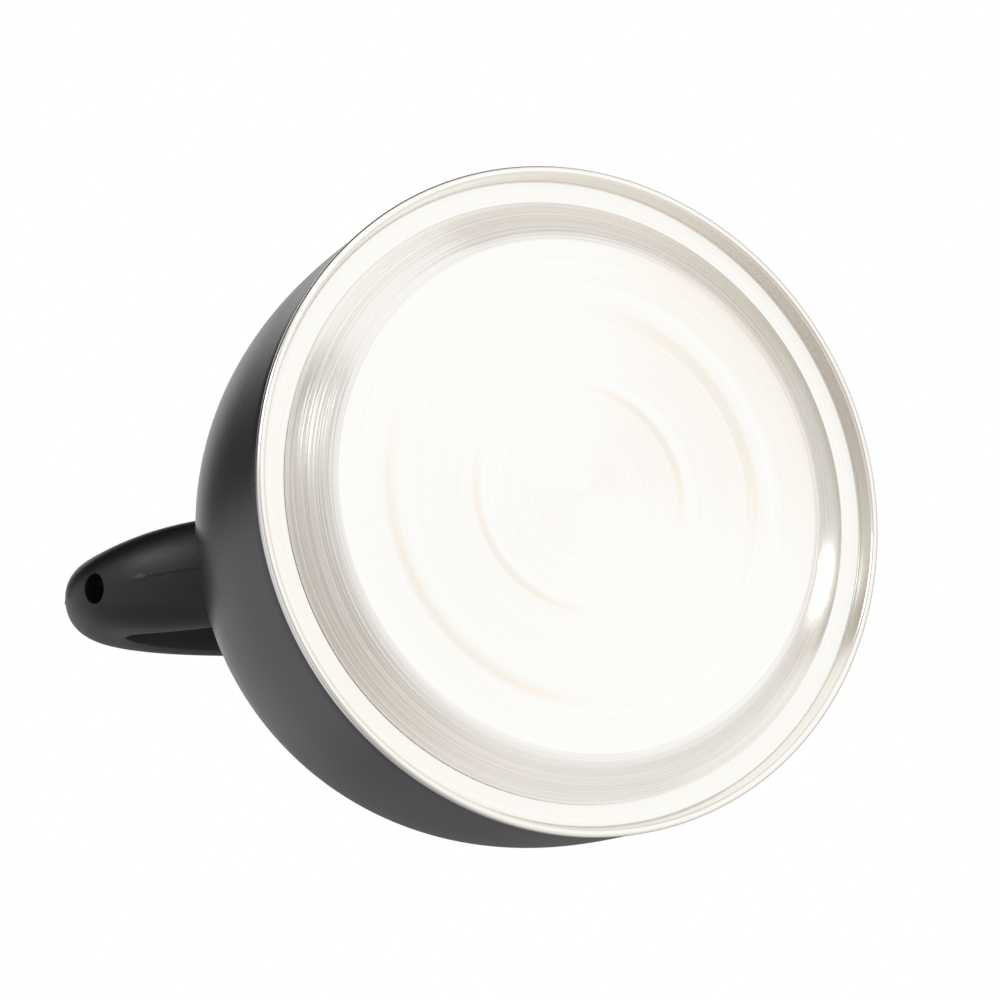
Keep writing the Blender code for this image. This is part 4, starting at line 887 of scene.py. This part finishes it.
carve(capPiece, [bar(capBore, flap["cutFrom"], cavity, steps["cap"], spoutFrame), forkTool(),
                 crossHole(hinge, flap["hingePin"] + flap["gap"]),
                 crossHole(horn, link["pin"] + link["gap"])])
softenEdges(capPiece, flap["soft"], segments=3)
fitPiece(capPiece, "flap", ["whistle_cap"], "black_bakelite", plastic)

trigger = {"half": 0.0043, "hub": 0.0062, "reach": 0.0340, "drop": 0.0075, "knee": 0.5, "kneeRadius": 0.0034,
           "tip": 0.0026, "pin": 0.0015, "coil": 0.0026, "wire": 0.0008, "pitch": 0.0013, "turns": 2.5,
           "gap": 0.0003, "forkOver": 0.0010, "springRoom": 0.010, "soft": 0.0005}
center = (pivot.x, pivot.z)
knee = (center[0] - trigger["reach"] * trigger["knee"], center[1] - trigger["drop"] * trigger["knee"] ** 2)
tip = (center[0] - trigger["reach"], center[1] - trigger["drop"])
side = trigger["half"]
lever = strap(center, trigger["hub"], link["arm"], link["eye"], -side, side)
triggerPiece = makeObject("triggerLever", lever)
carve(triggerPiece, [strap(center, trigger["hub"], knee, trigger["kneeRadius"], -side, side),
                     strap(knee, trigger["kneeRadius"], tip, trigger["tip"], -side, side)], "UNION")
armX, armZ = link["arm"]
forkGap, forkReach = link["half"] + link["fork"], link["eye"] + link["fork"]
springStart = side - trigger["turns"] * trigger["pitch"]
springMiddle = springStart - trigger["wire"] + trigger["springRoom"] / 2
carve(triggerPiece, [
    block((armX - 3 * forkReach, -forkGap, armZ - 2 * forkReach),
          (armX + 3 * forkReach, forkGap, armZ + forkReach + trigger["forkOver"])),
    crossHole(pivot, trigger["pin"] + trigger["gap"]), crossHole(arm, link["pin"] + link["gap"]),
    crossHole(pivot + Vector((0, springMiddle, 0)), trigger["coil"] + trigger["wire"] + trigger["gap"],
              trigger["springRoom"])])
softenEdges(triggerPiece, trigger["soft"], segments=3)
fitPiece(triggerPiece, "trigger", ["trigger"], "black_bakelite", plastic)

heading = (Vector(link["horn"]) - Vector(link["arm"])).normalized()
across = Vector((-heading.y, heading.x))
linkPiece = makeObject("linkStrip", strap(
    link["arm"], link["eye"], link["horn"], link["eye"] + link["slack"] / 2, -link["half"], link["half"]))
slotTop = Vector(link["horn"]) + across * link["slack"]
eyeHole = link["pin"] + link["gap"]
carve(linkPiece, [strap(link["horn"], eyeHole, tuple(slotTop), eyeHole, -link["cutHalf"], link["cutHalf"]),
                  crossHole(arm, eyeHole, link["holeReach"])])
softenEdges(linkPiece, link["soft"], segments=2)
fitPiece(linkPiece, "link", ["link_rod"], "stainless_steel", fixingSteel)
print("linkage made")


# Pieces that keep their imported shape

finishOf = {"heat_core": aluminium, "whistle_seal": sealRubber}
for node in ("front_bracket", "rear_bracket", "whistle_plate_inner", "whistle_plate_outer", "knob_screw",
             "trigger_pin", "trigger_spring"):
    finishOf[node] = fixingSteel
for node, material in finishOf.items():
    kept = frame["nodes"][node].data
    kept.materials.clear()
    kept.materials.append(material)


# Floor, background and light

studio = {"floor": 6.0, "clearance": 0.0002, "floorColor": (0.80, 0.80, 0.80), "fill": 0.55,
          "room": (0.63, 0.58, 0.52)}
# what steel and paint mirror: soft screens in a warm grey room
# each has the way to its middle, the angles where it is full and where it has faded, and its colour
screens = [
    ((0, 0, 1), 45, 85, (0.36, 0.36, 0.37)),
    ((-0.95, -0.10, -0.05), 25, 47, (0.75, 0.75, 0.77)),
    ((-0.12, -0.83, 0.50), 30, 44, (0.02, 0.02, 0.02)),
    ((-0.45, 0.85, 0.20), 12, 36, (0.42, 0.42, 0.43)),
    ((-0.40, 0.03, 0.91), 13, 30, (0.62, 0.62, 0.64)),
    ((-0.20, -0.385, 0.90), 9, 18, (0.0, 0.0, 0.0)),
    ((-0.80, -0.55, -0.23), 4, 14, (5.0, 5.0, 5.0)),
    ((0.30, -0.28, 0.91), 9, 27, (1.0, 1.0, 1.0)),
    ((0.37, 0.20, 0.90), 8, 22, (0.23, 0.23, 0.23)),
    ((0.45, 0.72, -0.45), 20, 58, (0.80, 0.76, 0.72)),
    ((-0.62, 0.10, -0.78), 6, 34, (0.50, 0.455, 0.405)),
    ((-0.47, -0.60, -0.65), 4, 14, (0.36, 0.34, 0.32)),
    ((-0.155, -0.83, -0.53), 17, 23, (1.0, 0.975, 0.955)),
    ((0.406, -0.152, -0.901), 34, 58, (1.0, 1.0, 1.0)),
    ((0.66, -0.29, -0.70), 8, 13, (1.0, 0.86, 0.70)),
    ((0.66, -0.29, -0.70), 5, 10, (0.90, 0.85, 0.79)),
]

floorMesh = bmesh.new()
bmesh.ops.create_grid(floorMesh, x_segments=1, y_segments=1, size=studio["floor"],
                      matrix=Matrix.Translation((0, 0, -studio["clearance"])))
floor = makeObject("floor", floorMesh)
floorFinish = bpy.data.materials.new("paleFloor")
floorFinish.use_nodes = True
tree = floorFinish.node_tree
tree.nodes.remove(tree.nodes["Principled BSDF"])
diffuse = addNode(tree, "ShaderNodeBsdfDiffuse", {"Color": (*studio["floorColor"], 1)})
clear = addNode(tree, "ShaderNodeBsdfTransparent")
paths, sides = addNode(tree, "ShaderNodeLightPath"), addNode(tree, "ShaderNodeNewGeometry")
front = mathNode(tree, "SUBTRACT", 1.0, sides.outputs["Backfacing"])
seen = mathNode(tree, "MULTIPLY", paths.outputs["Is Camera Ray"], front)
mix = addNode(tree, "ShaderNodeMixShader")
tree.links.new(seen, mix.inputs[0])
tree.links.new(clear.outputs[0], mix.inputs[1])
tree.links.new(diffuse.outputs[0], mix.inputs[2])
tree.links.new(mix.outputs[0], tree.nodes["Material Output"].inputs["Surface"])
floor.data.materials.append(floorFinish)


world = bpy.data.worlds.new("studio")
scene.world = world
world.use_nodes = True
tree = world.node_tree
around = addNode(tree, "ShaderNodeTexCoord").outputs["Generated"]
mirrored = studio["room"]
for towards, full, fade, color in screens:
    facing = addNode(tree, "ShaderNodeVectorMath", operation="DOT_PRODUCT")
    tree.links.new(around, facing.inputs[0])
    facing.inputs[1].default_value = Vector(towards).normalized()
    share = addNode(tree, "ShaderNodeMapRange", interpolation_type="SMOOTHSTEP",
                    values={1: cos(radians(fade)), 2: cos(radians(full))})
    tree.links.new(facing.outputs["Value"], share.inputs[0])
    mirrored = mixColors(tree, share.outputs[0], mirrored, color)
paths = addNode(tree, "ShaderNodeLightPath")
back = tree.nodes["Background"]
glow = mixColors(tree, paths.outputs["Is Glossy Ray"], (1, 1, 1), mirrored)
tree.links.new(glow, back.inputs["Color"])
shown = mathNode(tree, "MAXIMUM", paths.outputs["Is Glossy Ray"], paths.outputs["Is Transmission Ray"])
shown = mathNode(tree, "MAXIMUM", paths.outputs["Is Camera Ray"], shown)
strength = rangeNode(tree, shown, studio["fill"], 1.0, span=(0.0, 1.0))
tree.links.new(strength, back.inputs["Strength"])

# place, target, size and watts of each lamp; nothing mirrors them
lamps = {"keyAbove": ((0.7, -1.2, 1.2), (0, 0, 0.1), (0.9, 0.9), 9),
         "fillBelow": ((0.3, 1.0, -0.6), (0, 0, 0.08), (1.2, 0.8), 5)}
for name, (place, target, size, power) in lamps.items():
    data = bpy.data.lights.new(name, "AREA")
    data.shape, data.energy = "RECTANGLE", power
    data.size, data.size_y = size
    lamp = bpy.data.objects.new(name, data)
    scene.collection.objects.link(lamp)
    lamp.matrix_world = aimed(place, Vector(target) - Vector(place), "-Z")
    lamp.visible_glossy = False
    lamp.visible_camera = False
